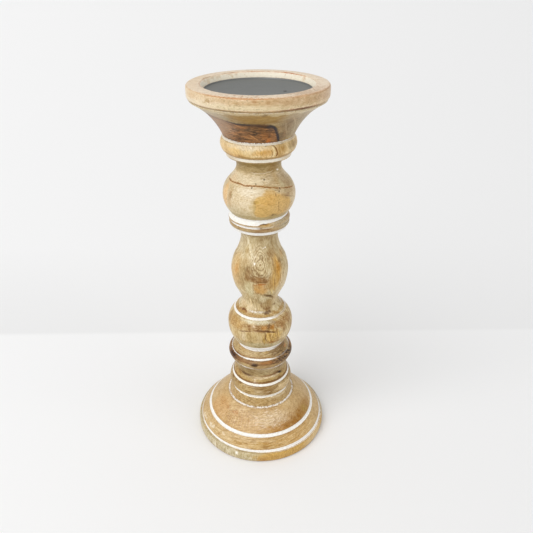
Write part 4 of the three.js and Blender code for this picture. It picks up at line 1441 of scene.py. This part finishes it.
@dataclass
class UpperBall(Section):
    """The pale ball with a dark vein round it, and its neck."""

    node: str = "upper_ball"
    slot: str = "upper_ball_wood"
    bottom: float = UPPER_RING_TOP
    top: float = UPPER_BALL_TOP
    socket: Tenon | None = SLIM_TENON
    tenon: Tenon | None = SLIM_TENON

    def outside(self, outline: Outline) -> None:
        """Follow the ball and the neck."""
        outline.line((26.7, self.bottom)).ball(281.5, 34.2, 28.5, 26.6, 264.8, 298.6)
        outline.sweep((23.2, 302.2), (21.1, 306.2), (20.6, 310.2), (21.8, 315.0), (25.4, 317.9), spacing=0.8)
        outline.line((28.4, self.top))

    def finish(self) -> WoodFinish:
        """Return the finish of the ball."""
        vein = ((-80, 297.3), (-60, 297.2), (-40, 297.7), (-28, 297.2), (-20, 297.5), (0, 297.5), (10, 296.8),
                (22, 296.0), (30, 295.2), (38, 294.4), (50, 293.2), (74, 290.6))
        marks = (
            # Darker olive neck: partly dirt, partly painted shade under the overhang above.
            Zone(306.5, 319.0, (172, 147, 92), 0.8, 2.6),
            Zone(312.5, 316.4, (146, 120, 62), 0.7, 1.0),
            Hatch(Patch(0, 312, 80, 6, (128, 102, 52), 0.5, 0.3), 0, 0.7, 6),
            Patch(36, 311, 12, 4.0, (152, 116, 54), 0.6, 0.6),
            Zone(290.6, 297.4, (190, 172, 130), 0.45, 1.6),
            Zone(298.6, 304.6, (222, 210, 182), 0.5, 1.4),
            Hatch(Patch(48, 298, 30, 9, (150, 118, 70), 0.6, 0.4), -6, 0.7, 9),
            Hatch(Patch(-34, 284, 26, 12, (176, 150, 104), 0.45, 0.4), 82, 0.8, 4),
            Hatch(Patch(-34, 286, 24, 12, (246, 238, 220), 0.5, 0.4), 96, 0.8, 4),
            Patch(40, 302, 8, 4.4, (190, 154, 88), 0.65, 0.6),
            Patch(60, 298, 16, 8.0, (176, 152, 114), 0.7, 0.5),
            Patch(34, 301, 10, 3.2, (190, 168, 126), 0.5, 0.6),
            Patch(-66, 300, 12, 4.0, (226, 200, 160), 0.6, 0.6),
            Patch(-34, 284, 20, 11, (224, 208, 176), 0.5, 0.5),
            Patch(-12, 293, 22, 3.6, (234, 224, 202), 0.8, 0.5),
            Patch(-36, 271, 28, 6.0, (196, 182, 144), 0.6, 0.6),
            Patch(-68, 284, 9.5, 11.0, (230, 192, 138), 0.85, 0.3),
            Patch(-52, 284, 5.0, 8.0, (192, 162, 116), 0.8, 0.5),
            Patch(-50, 286.6, 2.6, 4.0, (156, 124, 80), 0.6, 0.6),
            Patch(-47, 287.4, 2.0, 1.2, (146, 128, 78), 0.5, 0.5),
            Patch(24, 279, 33, 12.0, (212, 174, 102), 0.9, 0.12, soft=False),
            Patch(4, 284.4, 12.4, 5.6, (214, 178, 108), 0.9, 0.12, soft=False),
            Patch(4, 273.6, 12.4, 5.2, (212, 176, 106), 0.9, 0.12, soft=False),
            Patch(18, 290.4, 12, 4.0, (216, 178, 110), 0.85, 0.35),
            Hatch(Patch(22, 281, 30, 11, (192, 146, 70), 0.35, 0.3), 84, 0.7, 4),
            Patch(-4, 284.6, 3.6, 2.0, (190, 156, 78), 0.75, 0.6),
            Patch(-7.4, 279, 1.6, 9.0, (176, 150, 92), 0.6, 0.6),
            Patch(-11, 276, 3.2, 12, (202, 180, 130), 0.55, 0.6),
            Patch(16, 284.6, 12, 3.0, (206, 160, 86), 0.5, 0.6),
            Patch(36, 280, 12, 6.0, (220, 186, 124), 0.55, 0.6),
            Patch(0, 282.0, 9, 1.0, (220, 184, 124), 0.5, 0.5),
            Patch(22, 269.6, 8, 2.0, (158, 128, 74), 0.7, 0.6),
            Patch(50, 272, 14, 6.0, (206, 170, 108), 0.5, 0.6),
            Patch(26, 279, 3, 5, (222, 188, 124), 0.4, 0.6),
            Patch(58, 287.6, 18, 3.2, (182, 154, 110), 0.6, 0.5),
            Patch(46, 288.6, 10, 1.2, (158, 128, 90), 0.55, 0.5),
            Streak(((31, 285), (30.6, 280), (31.8, 275)), 0.45, (160, 118, 62), 0.7, True, 1.5),
            Streak(((35, 290), (37.6, 285), (37, 279)), 0.6, (224, 184, 118), 0.5, True, 1.5),
            Streak(((42, 288.2), (54, 285.4), (66, 282.8)), 0.5, (134, 100, 66), 0.7),
            Streak(vein, 0.95, (194, 148, 84), 0.85, ends=2),
            Streak(vein, 0.5, (128, 80, 32), 1.0, ends=2),
            Streak(((-58, 295.2), (-30, 295.6), (0, 295.2)), 0.5, (206, 182, 142), 0.5),
            Streak(((-20, 307.6), (0, 306.8), (20, 307.2), (36, 308.4)), 0.5, (232, 220, 196), 0.6),
            Patch(20, 304.0, 22, 0.6, (178, 152, 110), 0.5, 0.5),
            Patch(11, 302.0, 1.5, 0.9, (84, 66, 40), 0.95, 0.4, soft=False),
            Patch(-6, 299.0, 1.1, 0.6, (112, 92, 64), 0.9, 0.4, soft=False),
            Patch(-13.2, 296.3, 1.5, 0.6, (104, 84, 56), 0.95, 0.4, soft=False),
            Patch(38, 294.2, 1.3, 0.7, (80, 56, 34), 0.95, 0.4, soft=False),
            Patch(35, 292.2, 1.4, 0.5, (108, 82, 54), 0.9, 0.4, soft=False),
            Patch(27.4, 290.2, 1.2, 1.2, (136, 104, 62), 0.7, 0.5, soft=False),
            Patch(22, 270.8, 1.6, 0.7, (88, 68, 42), 0.95, 0.4, soft=False),
            # Painted highlight: a white glint on the shoulder under the neck.
            Patch(53.4, 307.8, 4.4, 0.7, (248, 245, 236), 0.9, 0.4, -8, soft=False),
            Patch(46, 297, 3.6, 3.4, (206, 196, 158), 0.55, 0.6, 16),
            # Painted shade: the ball's underside darker just above the ring.
            Zone(263.0, 269.6, (168, 149, 99), 0.7, 1.2),
        )
        return WoodFinish(
            "upper_ball_wood", (232, 217, 188), (218, 199, 162), (194, 168, 122), 32.0, Fibre.ACROSS, 2.0,
            pith=(20.0, 250.0), ring_spacing=4.8, ring_strength=0.06, cloud_strength=0.5, fibre_strength=0.3,
            mottle_strength=0.1, grain_strength=1.0, marks=marks,
            paints=(Paint(263.0, 264.9, 0.9, 0.35, 0.3), Paint(317.8, 319.0, 0.7, 0.3, 0.4)),
        )


@dataclass
class NeckBead(Section):
    """The straw-coloured bead on a painted fillet."""

    node: str = "neck_bead"
    slot: str = "bead_wood"
    bottom: float = UPPER_BALL_TOP
    top: float = NECK_BEAD_TOP
    socket: Tenon | None = SLIM_TENON
    tenon: Tenon | None = SLIM_TENON

    def outside(self, outline: Outline) -> None:
        """Follow the fillet and the bead."""
        outline.sweep((28.9, self.bottom), (29.6, 319.4), (29.9, 321.4), (30.2, 322.6), spacing=0.6)
        outline.sweep(
            (31.4, 323.3), (33.2, 325.3), (34.6, 329.6), (34.1, 333.4), (33.0, 335.9), (32.2, self.top),
            spacing=0.7,
        )

    def finish(self) -> WoodFinish:
        """Return the finish of the bead."""
        marks = (
            Patch(-56, 330, 14, 4.6, (220, 188, 136), 0.65, 0.5),
            Patch(-38, 330, 9, 4.4, (230, 194, 128), 0.55, 0.5),
            Patch(-16, 331, 12, 3.4, (234, 212, 168), 0.6, 0.5),
            Patch(9, 330, 11, 4.0, (216, 172, 100), 0.7, 0.5),
            Patch(12, 330, 7, 2.4, (206, 158, 84), 0.45, 0.5),
            Patch(34, 330, 10, 5.0, (180, 138, 68), 0.85, 0.5),
            Patch(54, 329, 6, 4.0, (204, 186, 146), 0.7, 0.5),
            Patch(68, 331, 12, 5.0, (184, 160, 118), 0.7, 0.5),
            Streak(((16.6, 335.6), (20.6, 333.6), (22.8, 330.6), (22.6, 327.6), (21, 325)), 0.9,
                   (242, 222, 174), 0.95, True, 0.8),
            Streak(((19.4, 336.0), (23.4, 334.4), (26.2, 331.4), (27.2, 328.6), (26.2, 325.6)), 1.0,
                   (138, 94, 40), 1.0, True, 0.8),
            Streak(((17.6, 332), (19.2, 329.8), (19.4, 327.4), (18.6, 325)), 0.6,
                   (160, 118, 60), 0.85, True, 0.8),
            Streak(((24.8, 330), (24.9, 328), (23.8, 325.6)), 0.5, (234, 208, 156), 0.7, True, 0.8),
            Streak(((-31, 336.0), (-25, 334.4), (-19, 331.4), (-15, 327.6)), 0.8, (196, 148, 78), 0.7),
            Streak(((-34, 335.0), (-28, 333.4), (-22, 330.4)), 0.6, (244, 220, 168), 0.7),
            Streak(((-5, 336.0), (0, 333.8), (4.4, 330.4), (6.6, 326.6)), 0.8, (192, 144, 74), 0.75),
            Streak(((-8, 335.4), (-3, 333.4), (1.4, 330.2)), 0.6, (242, 214, 158), 0.7),
            Patch(4.4, 330.2, 1.4, 1.6, (238, 198, 116), 0.7, 0.5),
            Patch(-2, 329.0, 8, 2.0, (216, 172, 100), 0.5, 0.5),
            # Painted highlight: a pale band along the bead's top edge.
            Patch(-20, 334.4, 34, 2.6, (242, 228, 198), 0.75, 0.5),
            Patch(58, 333, 14, 3.4, (174, 148, 104), 0.6, 0.6),
            # Painted shade: a brown band on the bead's underside, above the fillet.
            Zone(322.4, 325.6, (168, 130, 70), 0.8, 0.7),
            Patch(-44, 325.8, 18, 1.2, (200, 154, 92), 0.5, 0.5),
            Zone(318.0, 319.6, (150, 118, 66), 0.6, 0.5),
            Patch(10, 335.9, 1.5, 0.75, (60, 48, 32), 0.98, 0.4, soft=False),
            Patch(37, 336.2, 5, 0.6, (150, 120, 72), 0.7, 0.5),
        )
        return WoodFinish(
            "neck_bead_wood", (242, 219, 175), (231, 203, 146), (210, 173, 110), 33.0, Fibre.UPRIGHT, 9.0,
            pith=(18.0, 30.0), ring_spacing=4.0, ring_strength=0.08, fibre_strength=0.4, grain_strength=1.0,
            marks=marks, white=(247, 240, 222),
            paints=(
                Paint(319.6, 322.4, 1.0, 0.3, 0.22, dirt_and_shade=0.7, bare=tuple(
                    Patch(angle, 321, 22, 2.4, BARE, 0.45, 0.5) for angle in (-60, 60))),
                Paint(335.8, 337.2, 1.0, 0.5, 0.3, dirt_and_shade=0.3, bare=(
                    Patch(60, 336.4, 30, 1.6, BARE, 0.6, 0.4),)),
            ),
        )


@dataclass
class Cup(Section):
    """The flared cup, with a heartwood patch in its face and a spigot for the rim ring."""

    node: str = "cup"
    slot: str = "cup_wood"
    bottom: float = NECK_BEAD_TOP
    top: float = CUP_TOP
    socket: Tenon | None = SLIM_TENON
    spigot_radius: float = 46.8
    seat: float = PAN_UNDERSIDE
    pocket_radius: float = NUT_POCKET_RADIUS
    pocket_floor: float = 361.8

    def outside(self, outline: Outline) -> None:
        """Follow the flare and the small bead at its edge."""
        outline.line((31.9, self.bottom))
        outline.sweep(
            (32.5, 338.6), (34.8, 343.2), (38.3, 348.9), (43.2, 355.1), (49.2, 361.0), (55.6, 365.7),
            (59.2, 367.9), spacing=1.1,
        )
        outline.sweep((60.2, 368.5), (60.4, 369.3), (59.8, self.top), spacing=0.4)

    def upper_end(self, outline: Outline) -> None:
        """Follow the spigot and the nut pocket."""
        outline.line(
            (self.spigot_radius, self.top), (self.spigot_radius, self.seat), (self.pocket_radius, self.seat),
            (self.pocket_radius, self.pocket_floor), (self.bore, self.pocket_floor),
        )

    def finish(self) -> WoodFinish:
        """Return the finish of the cup."""
        heart = Heartwood(
            ((-170, 330), (-135, 336), (-112, 352), (-86, 361), (-60, 361.2), (-40, 358.8), (-22, 356.8),
             (0, 356.8), (11, 356.2), (16.5, 354.2), (21, 350.4), (25.6, 345.6), (30, 340.6), (34.6, 333.0)),
            ((0.3, (50, 36, 24)), (0.42, (98, 68, 40)), (0.5, (134, 93, 54)), (0.6, (164, 113, 64)),
             (0.72, (198, 144, 88))),
            (58, 46, 42), 1.4,
        )
        border = Streak(
            ((14.6, 355.0), (18.2, 353.0), (21.6, 350.0), (25.6, 345.4), (29.4, 340.8), (32.4, 336.6)), 2.7,
            (46, 42, 46), 1.0, True, 1.0,
        )
        marks = (
            Patch(0, 363.6, 30, 4.6, (176, 142, 80), 0.75, 0.4),
            Patch(6, 358.6, 16, 3.0, (148, 118, 66), 0.55, 0.5),
            Patch(-46, 364, 16, 5.0, (196, 182, 154), 0.7, 0.5),
            Patch(36, 350, 13, 13, (138, 114, 80), 0.75, 0.6),
            Patch(56, 352, 14, 14, (164, 146, 112), 0.6, 0.5),
            Patch(72, 358, 14, 14, (176, 162, 132), 0.6, 0.5),
            Hatch(Patch(48, 354, 28, 14, (120, 98, 62), 0.45, 0.4), -52, 0.8, 9),
            Hatch(Patch(-4, 363, 50, 6, (140, 108, 50), 0.45, 0.4), 2, 0.8, 8),
            Patch(-34, 360.6, 5, 2.0, (156, 148, 122), 0.4, 0.6),
            Streak(((34, 362), (46, 354), (58, 344)), 1.0, (196, 176, 138), 0.5, ends=4),
            Streak(((40, 366), (54, 358), (68, 347)), 0.9, (146, 124, 88), 0.5, ends=4),
            Streak(((28, 358), (36, 350), (46, 340)), 1.3, (186, 166, 128), 0.45, ends=4),
            Streak(((44, 368), (60, 362), (78, 352)), 1.0, (198, 182, 150), 0.5, ends=4),
            Patch(46, 362.4, 22, 3.6, (186, 164, 126), 0.6, 0.6),
            Patch(32, 341, 10, 4.6, (116, 96, 68), 0.6, 0.6),
            Zone(366.2, 371.0, (214, 198, 160), 0.85, 0.6),
            Patch(5.5, 367.2, 2.6, 1.4, (130, 100, 56), 0.8, 0.5),
            Patch(-14, 366.6, 12, 0.9, (156, 122, 66), 0.45, 0.6),
            heart,
            Patch(11, 344.4, 9, 4.0, (172, 108, 44), 0.5, 0.6),
            Patch(14, 339.4, 4.0, 1.8, (212, 120, 44), 0.8, 0.5),
            Patch(-4, 347, 4.6, 3.0, (62, 48, 32), 0.8, 0.6),
            Patch(-12, 350.6, 11, 1.8, (70, 60, 42), 0.8, 0.6),
            Patch(4, 354.2, 12, 1.5, (64, 46, 36), 0.75, 0.6),
            Patch(-24, 341.4, 10, 1.4, (74, 50, 32), 0.7, 0.6, 12),
            Patch(-50, 352, 18, 9, (186, 154, 124), 0.75, 0.6),
            Patch(-58, 343, 16, 5, (186, 142, 98), 0.5, 0.6),
            Hatch(Patch(-10, 345, 40, 9, (50, 36, 26), 0.7, 0.3), 6, 0.7, 5),
            Hatch(Patch(0, 345, 40, 8, (204, 148, 90), 0.35, 0.3), 3, 0.7, 5),
            Streak(((-12, 346), (-6, 343), (0, 340.6)), 0.8, (214, 156, 96), 0.8),
            Streak(((-50, 342.6), (-34, 346.2), (-20, 347.6)), 0.8, (182, 128, 80), 0.6),
            border,
            Patch(13.4, 353.0, 5.5, 2.4, (50, 44, 46), 0.8, 0.5, -38),
        )
        return WoodFinish(
            "cup_wood", (190, 172, 132), (166, 140, 92), (140, 110, 62), 44.0, Fibre.ACROSS, 4.0,
            pith=(34.0, 380.0), ring_spacing=4.2, ring_strength=0.08, grain_strength=0.8, marks=marks,
            paints=(
                Paint(336.2, 337.6, 1.0, 0.7, 0.38, dirt_and_shade=0.7),
                Paint(369.0, 369.6, 0.3, 0.3, 0.42, dirt_and_shade=0.1),
            ),
        )


@dataclass
class RimRing(Section):
    """The rim ring glued round the cup's spigot."""

    node: str = "rim_ring"
    slot: str = "rim_wood"
    bottom: float = CUP_TOP
    top: float = RIM_TOP
    wall: float = 47.1
    edge: float = 0.3

    def lower_end(self, outline: Outline) -> None:
        """Start at the foot of the inner wall."""
        outline.line((self.wall, self.bottom))

    def outside(self, outline: Outline) -> None:
        """Follow the band."""
        outline.line((59.9, self.bottom))
        outline.sweep(
            (60.9, 370.4), (61.5, 371.1), (61.8, 373.0), (61.8, 378.4), (61.6, 379.7), (61.0, 380.6),
            (60.0, self.top), spacing=0.7,
        )

    def upper_end(self, outline: Outline) -> None:
        """Follow the top and the sloping wall of the recess."""
        outline.line((54.8, self.top)).sweep(
            (50.2, self.top), (49.5, 380.8), (48.9, 380.2), (47.9, 378.4), (47.4, 377.2),
            (self.wall, PAN_LIP_TOP), spacing=0.6,
        )

    def finish(self) -> WoodFinish:
        """Return the finish of the rim ring."""
        top = Surface.TOP
        marks = (
            Patch(-44, 373.4, 40, 3.4, (238, 225, 200), 0.8, 0.5),
            Patch(-44, 378.6, 36, 2.6, (224, 202, 168), 0.6, 0.5),
            Patch(-4, 378.0, 26, 3.0, (202, 172, 128), 0.7, 0.5),
            Patch(0, 373.6, 40, 2.2, (216, 200, 160), 0.65, 0.5),
            Patch(-62, 376.6, 8, 2.0, (216, 180, 130), 0.45, 0.5),
            Patch(34, 377.2, 24, 3.8, (194, 162, 120), 0.7, 0.5),
            Patch(68, 376.8, 20, 3.8, (204, 174, 142), 0.75, 0.5),
            Patch(-40, 376.2, 2.8, 1.2, (176, 142, 88), 0.7, 0.5),
            Patch(-43, 374.8, 2.4, 0.7, (188, 156, 104), 0.5, 0.5),
            Patch(-3, 379.2, 2, 1.0, (180, 128, 72), 0.5, 0.5),
            Patch(7, 378.4, 2, 1.4, (178, 136, 84), 0.4, 0.5),
            Zone(369.6, 371.2, (168, 132, 84), 0.55, 0.5, soft=False),
            Patch(34, 370.8, 18, 0.9, (116, 72, 38), 0.9, 0.5, soft=False),
            Patch(-22, 370.6, 10, 0.6, (158, 122, 76), 0.5, 0.5, soft=False),
            Zone(380.6, 382.0, (236, 221, 200), 0.95, 0.3, soft=False),
            Zone(380.1, 380.8, (208, 170, 128), 0.5, 0.3, soft=False),
            Patch(-14, 380.4, 30, 0.5, (192, 136, 88), 0.8, 0.4, soft=False),
            # Painted shade: the arris browner on the right.
            Patch(48, 380.4, 34, 0.7, (186, 150, 116), 0.7, 0.4, soft=False),
            Patch(-92, 56, 34, 4.6, (226, 200, 164), 0.5, 0.6, surface=top),
            Patch(20, 59.8, 60, 0.9, (220, 182, 140), 0.4, 0.6, surface=top),
            Patch(-60, 49.9, 40, 0.7, (190, 138, 92), 0.5, 0.5, surface=top),
            Patch(-34, 49.9, 22, 0.9, (190, 118, 66), 1.0, 0.3, surface=top, behind=True),
            Patch(-30, 51.2, 14, 0.7, (200, 138, 92), 0.8, 0.4, surface=top, behind=True),
            Patch(8, 49.9, 26, 0.7, (196, 130, 80), 0.9, 0.35, surface=top, behind=True),
            Patch(36, 50.6, 12, 0.9, (160, 112, 70), 0.75, 0.4, surface=top, behind=True),
            Patch(64, 50.2, 14, 0.9, (168, 132, 90), 0.8, 0.5, surface=top, behind=True),
            Patch(-54, 49.4, 10, 0.8, (204, 146, 88), 0.9, 0.4, surface=top, behind=True),
            Patch(-68, 48.9, 10, 0.6, (190, 150, 98), 0.8, 0.4, surface=top, behind=True),
        )
        peeled = tuple(
            Patch(angle, radius, half, 0.8, BARE, 0.5, 0.5, surface=top, behind=True)
            for angle, radius, half in ((24, 48.9, 2.2), (32, 48.6, 3.2), (41, 49.0, 3.0), (48, 48.2, 4.0),
                                        (57, 48.8, 4.2), (66, 48.4, 4.4), (74, 48.7, 3.0), (-58, 48.6, 3.0))
        )
        return WoodFinish(
            "rim_wood", (236, 218, 187), (224, 202, 168), (204, 172, 131), 61.0, Fibre.ACROSS, 2.0,
            pith=(40.0, 340.0), ring_spacing=5.0, ring_strength=0.06, cloud_strength=0.5, fibre_strength=0.5,
            mottle_strength=0.2, grain_strength=0.7, marks=marks, white=(248, 241, 222),
            paints=(Paint(47.0, 49.3, 0.85, 0.5, 0.3, surface=top, bare=peeled, dirt_and_shade=0.0),),
        )


@dataclass
class Pan:
    """The sheet-steel pan with its small upturned lip and the hole for its pin."""

    node: str = "pan"
    slot: str = "pan_steel"
    radius: float = 46.8
    underside: float = PAN_UNDERSIDE
    floor: float = PAN_FLOOR
    lip_top: float = PAN_LIP_TOP
    hole_place: Place = PIN_PLACE
    hole_radius: float = 1.1

    def build(self) -> bpy.types.Object:
        """Spin the pan, drill its hole and dress it.

        Returns:
            The finished piece.
        """
        outline = Outline((0.0, self.underside))
        outline.sweep((45.4, self.underside), (46.3, 374.4), (46.7, 374.8), (self.radius, 375.4), spacing=0.3)
        outline.line((self.radius, self.lip_top - 0.15), (46.65, self.lip_top), (46.25, self.lip_top))
        outline.sweep(
            (46.1, self.lip_top - 0.15), (46.0, 375.7), (45.8, 375.25), (45.2, self.floor), spacing=0.3,
        )
        outline.line((0.0, self.floor))
        piece = spin_outline("pressed_pan", outline, 160, 0.0, closed=False)
        self.drill(piece)
        finish = SteelFinish("pan_steel", (116, 118, 116), 0.35, 0.52, 0.32)
        hand_over(piece, self.node, finish.dress())
        return piece

    def drill(self, piece: bpy.types.Object) -> None:
        """Drill the hole for the pin.

        Args:
            piece: The pan.
        """
        start_fresh()
        place = (self.hole_place[0] * MM, self.hole_place[1] * MM, self.floor * MM)
        bpy.ops.mesh.primitive_cylinder_add(
            vertices=24, radius=self.hole_radius * MM, depth=4 * MM, location=place,
        )
        drill = bpy.context.object
        bpy.ops.object.select_all(action="DESELECT")
        piece.select_set(True)
        bpy.context.view_layer.objects.active = piece
        cut = piece.modifiers.new("pin_hole", "BOOLEAN")
        cut.operation = "DIFFERENCE"
        cut.object = drill
        bpy.ops.object.modifier_apply(modifier=cut.name)
        bpy.data.objects.remove(drill)


@dataclass
class PanelPin:
    """The small domed panel pin that holds the pan."""

    node: str = "panel_pin"
    slot: str = "pin_steel"
    place: Place = PIN_PLACE
    seat: float = PAN_FLOOR
    head_radius: float = 1.6
    head_height: float = 0.5
    shank_radius: float = 0.7
    point: float = 361.0

    def build(self) -> bpy.types.Object:
        """Spin the pin, set it in its hole and dress it.

        Returns:
            The finished piece.
        """
        top = self.seat + self.head_height
        outline = Outline((0.0, self.point), (self.shank_radius, self.point + 2))
        outline.line((self.shank_radius, self.seat), (self.head_radius - 0.1, self.seat))
        outline.sweep(
            (self.head_radius, self.seat + 0.12), (1.45, self.seat + 0.27), (1.0, top - 0.08), (0.0, top),
            spacing=0.25,
        )
        piece = spin_outline("panel_pin_domed", outline, 32, 0.0, closed=False)
        bpy.ops.transform.translate(value=(self.place[0] * MM, self.place[1] * MM, 0))
        bpy.ops.object.transform_apply(location=True, rotation=False, scale=False)
        finish = SteelFinish("pin_steel", (104, 102, 100), 0.5, 0.5, 0.3)
        hand_over(piece, self.node, finish.dress())
        return piece


@dataclass
class FeltDisc:
    """The felt let into the underside."""

    node: str = "felt_disc"
    slot: str = "felt"
    radius: float = 60.0
    top: float = FELT_TOP

    def build(self) -> bpy.types.Object:
        """Spin the disc with its soft edge and dress it.

        Returns:
            The finished piece.
        """
        outline = Outline((0.0, 0.0)).sweep((20.0, 0.0), (40.0, 0.0), (58.9, 0.0), spacing=8)
        outline.sweep((59.5, 0.1), (59.9, 0.45), (self.radius, 0.9), spacing=0.3)
        outline.line((self.radius, self.top), (0.0, self.top))
        piece = spin_outline("felt_pad", outline, 128, 0.0, closed=False)
        finish = FeltFinish("green_felt", (24, 36, 30), (52, 70, 60))
        hand_over(piece, self.node, finish.dress())
        return piece


@dataclass
class TieRod:
    """The rod with its nuts and washers, which the wood hides: the frame's own solids, dressed in zinc."""

    nodes: tuple[str, ...] = ("tie_rod", "lower_washer", "lower_nut", "upper_washer", "upper_nut")

    def dress(self) -> None:
        """Give the solids their finish."""
        material = SteelFinish("zinc_steel", (196, 198, 200), 1.0, 0.36, 0.3).dress()
        for name in self.nodes:
            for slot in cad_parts[name].material_slots:
                slot.material = material
            LOG.info("%s: kept and dressed", name)


@dataclass(frozen=True)
class Lamp:
    """A far soft lamp, placed by the direction that its light comes from."""

    name: str
    angle: float
    rise: float
    strength: float
    softness: float
    colour: Colour = (255, 255, 255)
    gloss_only: bool = False

    def hang(self) -> None:
        """Hang the lamp, its angle measured as the holder's are and its rise above the floor."""
        data = bpy.data.lights.new(self.name, "SUN")
        data.energy = self.strength
        data.angle = math.radians(self.softness)
        data.color = linear(self.colour)[:3]
        lamp = bpy.data.objects.new(self.name, data)
        lamp.rotation_euler = (math.radians(90 - self.rise), 0.0, math.radians(self.angle))
        lamp.visible_diffuse = not self.gloss_only
        bpy.context.scene.collection.objects.link(lamp)


@dataclass
class Studio:
    """The pale floor, the soft light and the camera."""

    floor_half: float = 9.0
    floor_gap: float = 0.00005
    line_place: float = 0.163
    line_blur: tuple[float, float] = (0.004, 0.006)
    line_shades: tuple[float, float] = (0.915, 0.955)
    far_shade: float = 0.975
    fade_length: float = 0.27
    side_shades: tuple[float, float] = (0.985, 0.89)
    side_origin: float = 0.8
    paper: Colour = (248, 248, 248)
    world_light: float = 0.62
    world_shown: float = 0.86
    eye: tuple[float, float, float] = (0.0, -0.48655, 0.47585)
    yaw: float = 0.804
    pitch: float = 29.464
    roll: float = -0.106
    lens: float = 37.36
    lamps: tuple[Lamp, ...] = (
        Lamp("key", -46.0, 44.0, 1.6, 50.0),
        Lamp("fill", 66.0, 26.0, 0.32, 40.0),
        Lamp("glint", -23.7, 19.5, 0.9, 7.0, gloss_only=True),
    )

    def lay_floor(self) -> None:
        """Lay the floor a hair below the felt, with painted shade: greyer beyond the line behind the holder,
        darkest just past that line, and darker towards the right.
        """
        start_fresh()
        bpy.ops.mesh.primitive_plane_add(size=2 * self.floor_half, location=(0, 0, -self.floor_gap))
        floor = bpy.context.object
        floor.name = "floor"
        graph = Graph("floor_paper")
        parts = graph.add("SeparateXYZ", {0: graph.wire(graph.add("TexCoord"), "Object")})
        across, depth = graph.wire(parts, 0), graph.wire(parts, 1)
        near_blur, far_blur = self.line_blur
        # Painted shade: greyer beyond the line, darkest just past it and most on the left, and darker towards
        # the right.
        beyond = graph.smooth(depth, self.line_place - near_blur, self.line_place + far_blur)
        side = across / (depth + self.side_origin)
        at_line = graph.span(side, -0.4, 0.15, *self.line_shades)
        fade_end = self.line_place + self.fade_length
        painted_line_shade = graph.span(depth, self.line_place, fade_end, at_line, self.far_shade)
        painted_side_shade = graph.span(side, -0.45, 0.55, *self.side_shades)
        fade = painted_side_shade * graph.math("MULTIPLY_ADD", beyond, painted_line_shade - 1.0, 1.0)
        colour = graph.blend(1.0, linear(self.paper), graph.join(fade, fade, fade), "MULTIPLY")
        floor.data.materials.append(graph.finish(Base_Color=colour, Roughness=1.0, Specular_IOR_Level=0.0))

    def light(self) -> None:
        """Light the room softly all round and hang the lamps."""
        world = bpy.data.worlds.new("soft_room")
        bpy.context.scene.world = world
        world.use_nodes = True
        nodes, links = world.node_tree.nodes, world.node_tree.links
        nodes.clear()
        rays = nodes.new("ShaderNodeLightPath")
        seen = nodes.new("ShaderNodeMath")
        seen.operation = "MAXIMUM"
        links.new(rays.outputs["Is Camera Ray"], seen.inputs[0])
        links.new(rays.outputs["Is Transmission Ray"], seen.inputs[1])
        shown, lit = nodes.new("ShaderNodeBackground"), nodes.new("ShaderNodeBackground")
        shown.inputs["Strength"].default_value = self.world_shown
        lit.inputs["Strength"].default_value = self.world_light
        for background in (shown, lit):
            background.inputs["Color"].default_value = (1.0, 1.0, 1.0, 1.0)
        mix = nodes.new("ShaderNodeMixShader")
        links.new(seen.outputs[0], mix.inputs[0])
        links.new(lit.outputs[0], mix.inputs[1])
        links.new(shown.outputs[0], mix.inputs[2])
        output = nodes.new("ShaderNodeOutputWorld")
        links.new(mix.outputs[0], output.inputs["Surface"])
        for lamp in self.lamps:
            lamp.hang()

    def set_camera(self) -> None:
        """Set the camera at the photograph's viewing angle."""
        data = bpy.data.cameras.new("front_camera")
        data.lens = self.lens
        data.sensor_width = 36.0
        data.clip_start = 0.01
        camera = bpy.data.objects.new("front_camera", data)
        bpy.context.scene.collection.objects.link(camera)
        heading = Matrix.Rotation(math.radians(-self.yaw), 4, "Z")
        nod = Matrix.Rotation(math.radians(90 - self.pitch), 4, "X")
        camera.matrix_world = Matrix.Translation(self.eye) @ heading @ nod @ Matrix.Rotation(
            math.radians(self.roll), 4, "Z")
        bpy.context.scene.camera = camera

    def set_up(self) -> None:
        """Set up the floor, the light, the camera and the view."""
        self.lay_floor()
        self.light()
        self.set_camera()
        bpy.context.scene.view_settings.view_transform = "Standard"


def main() -> None:
    """Build the holder and its studio."""
    logging.basicConfig(level=logging.INFO, format="%(name)s: %(message)s")
    sections = (Foot, Collar, DarkRing, LowerBall, Vase, UpperRing, UpperBall, NeckBead, Cup, RimRing)
    for part in (*sections, Pan, PanelPin, FeltDisc):
        part().build()
    TieRod().dress()
    Studio().set_up()


if __name__ == "__main__":
    main()
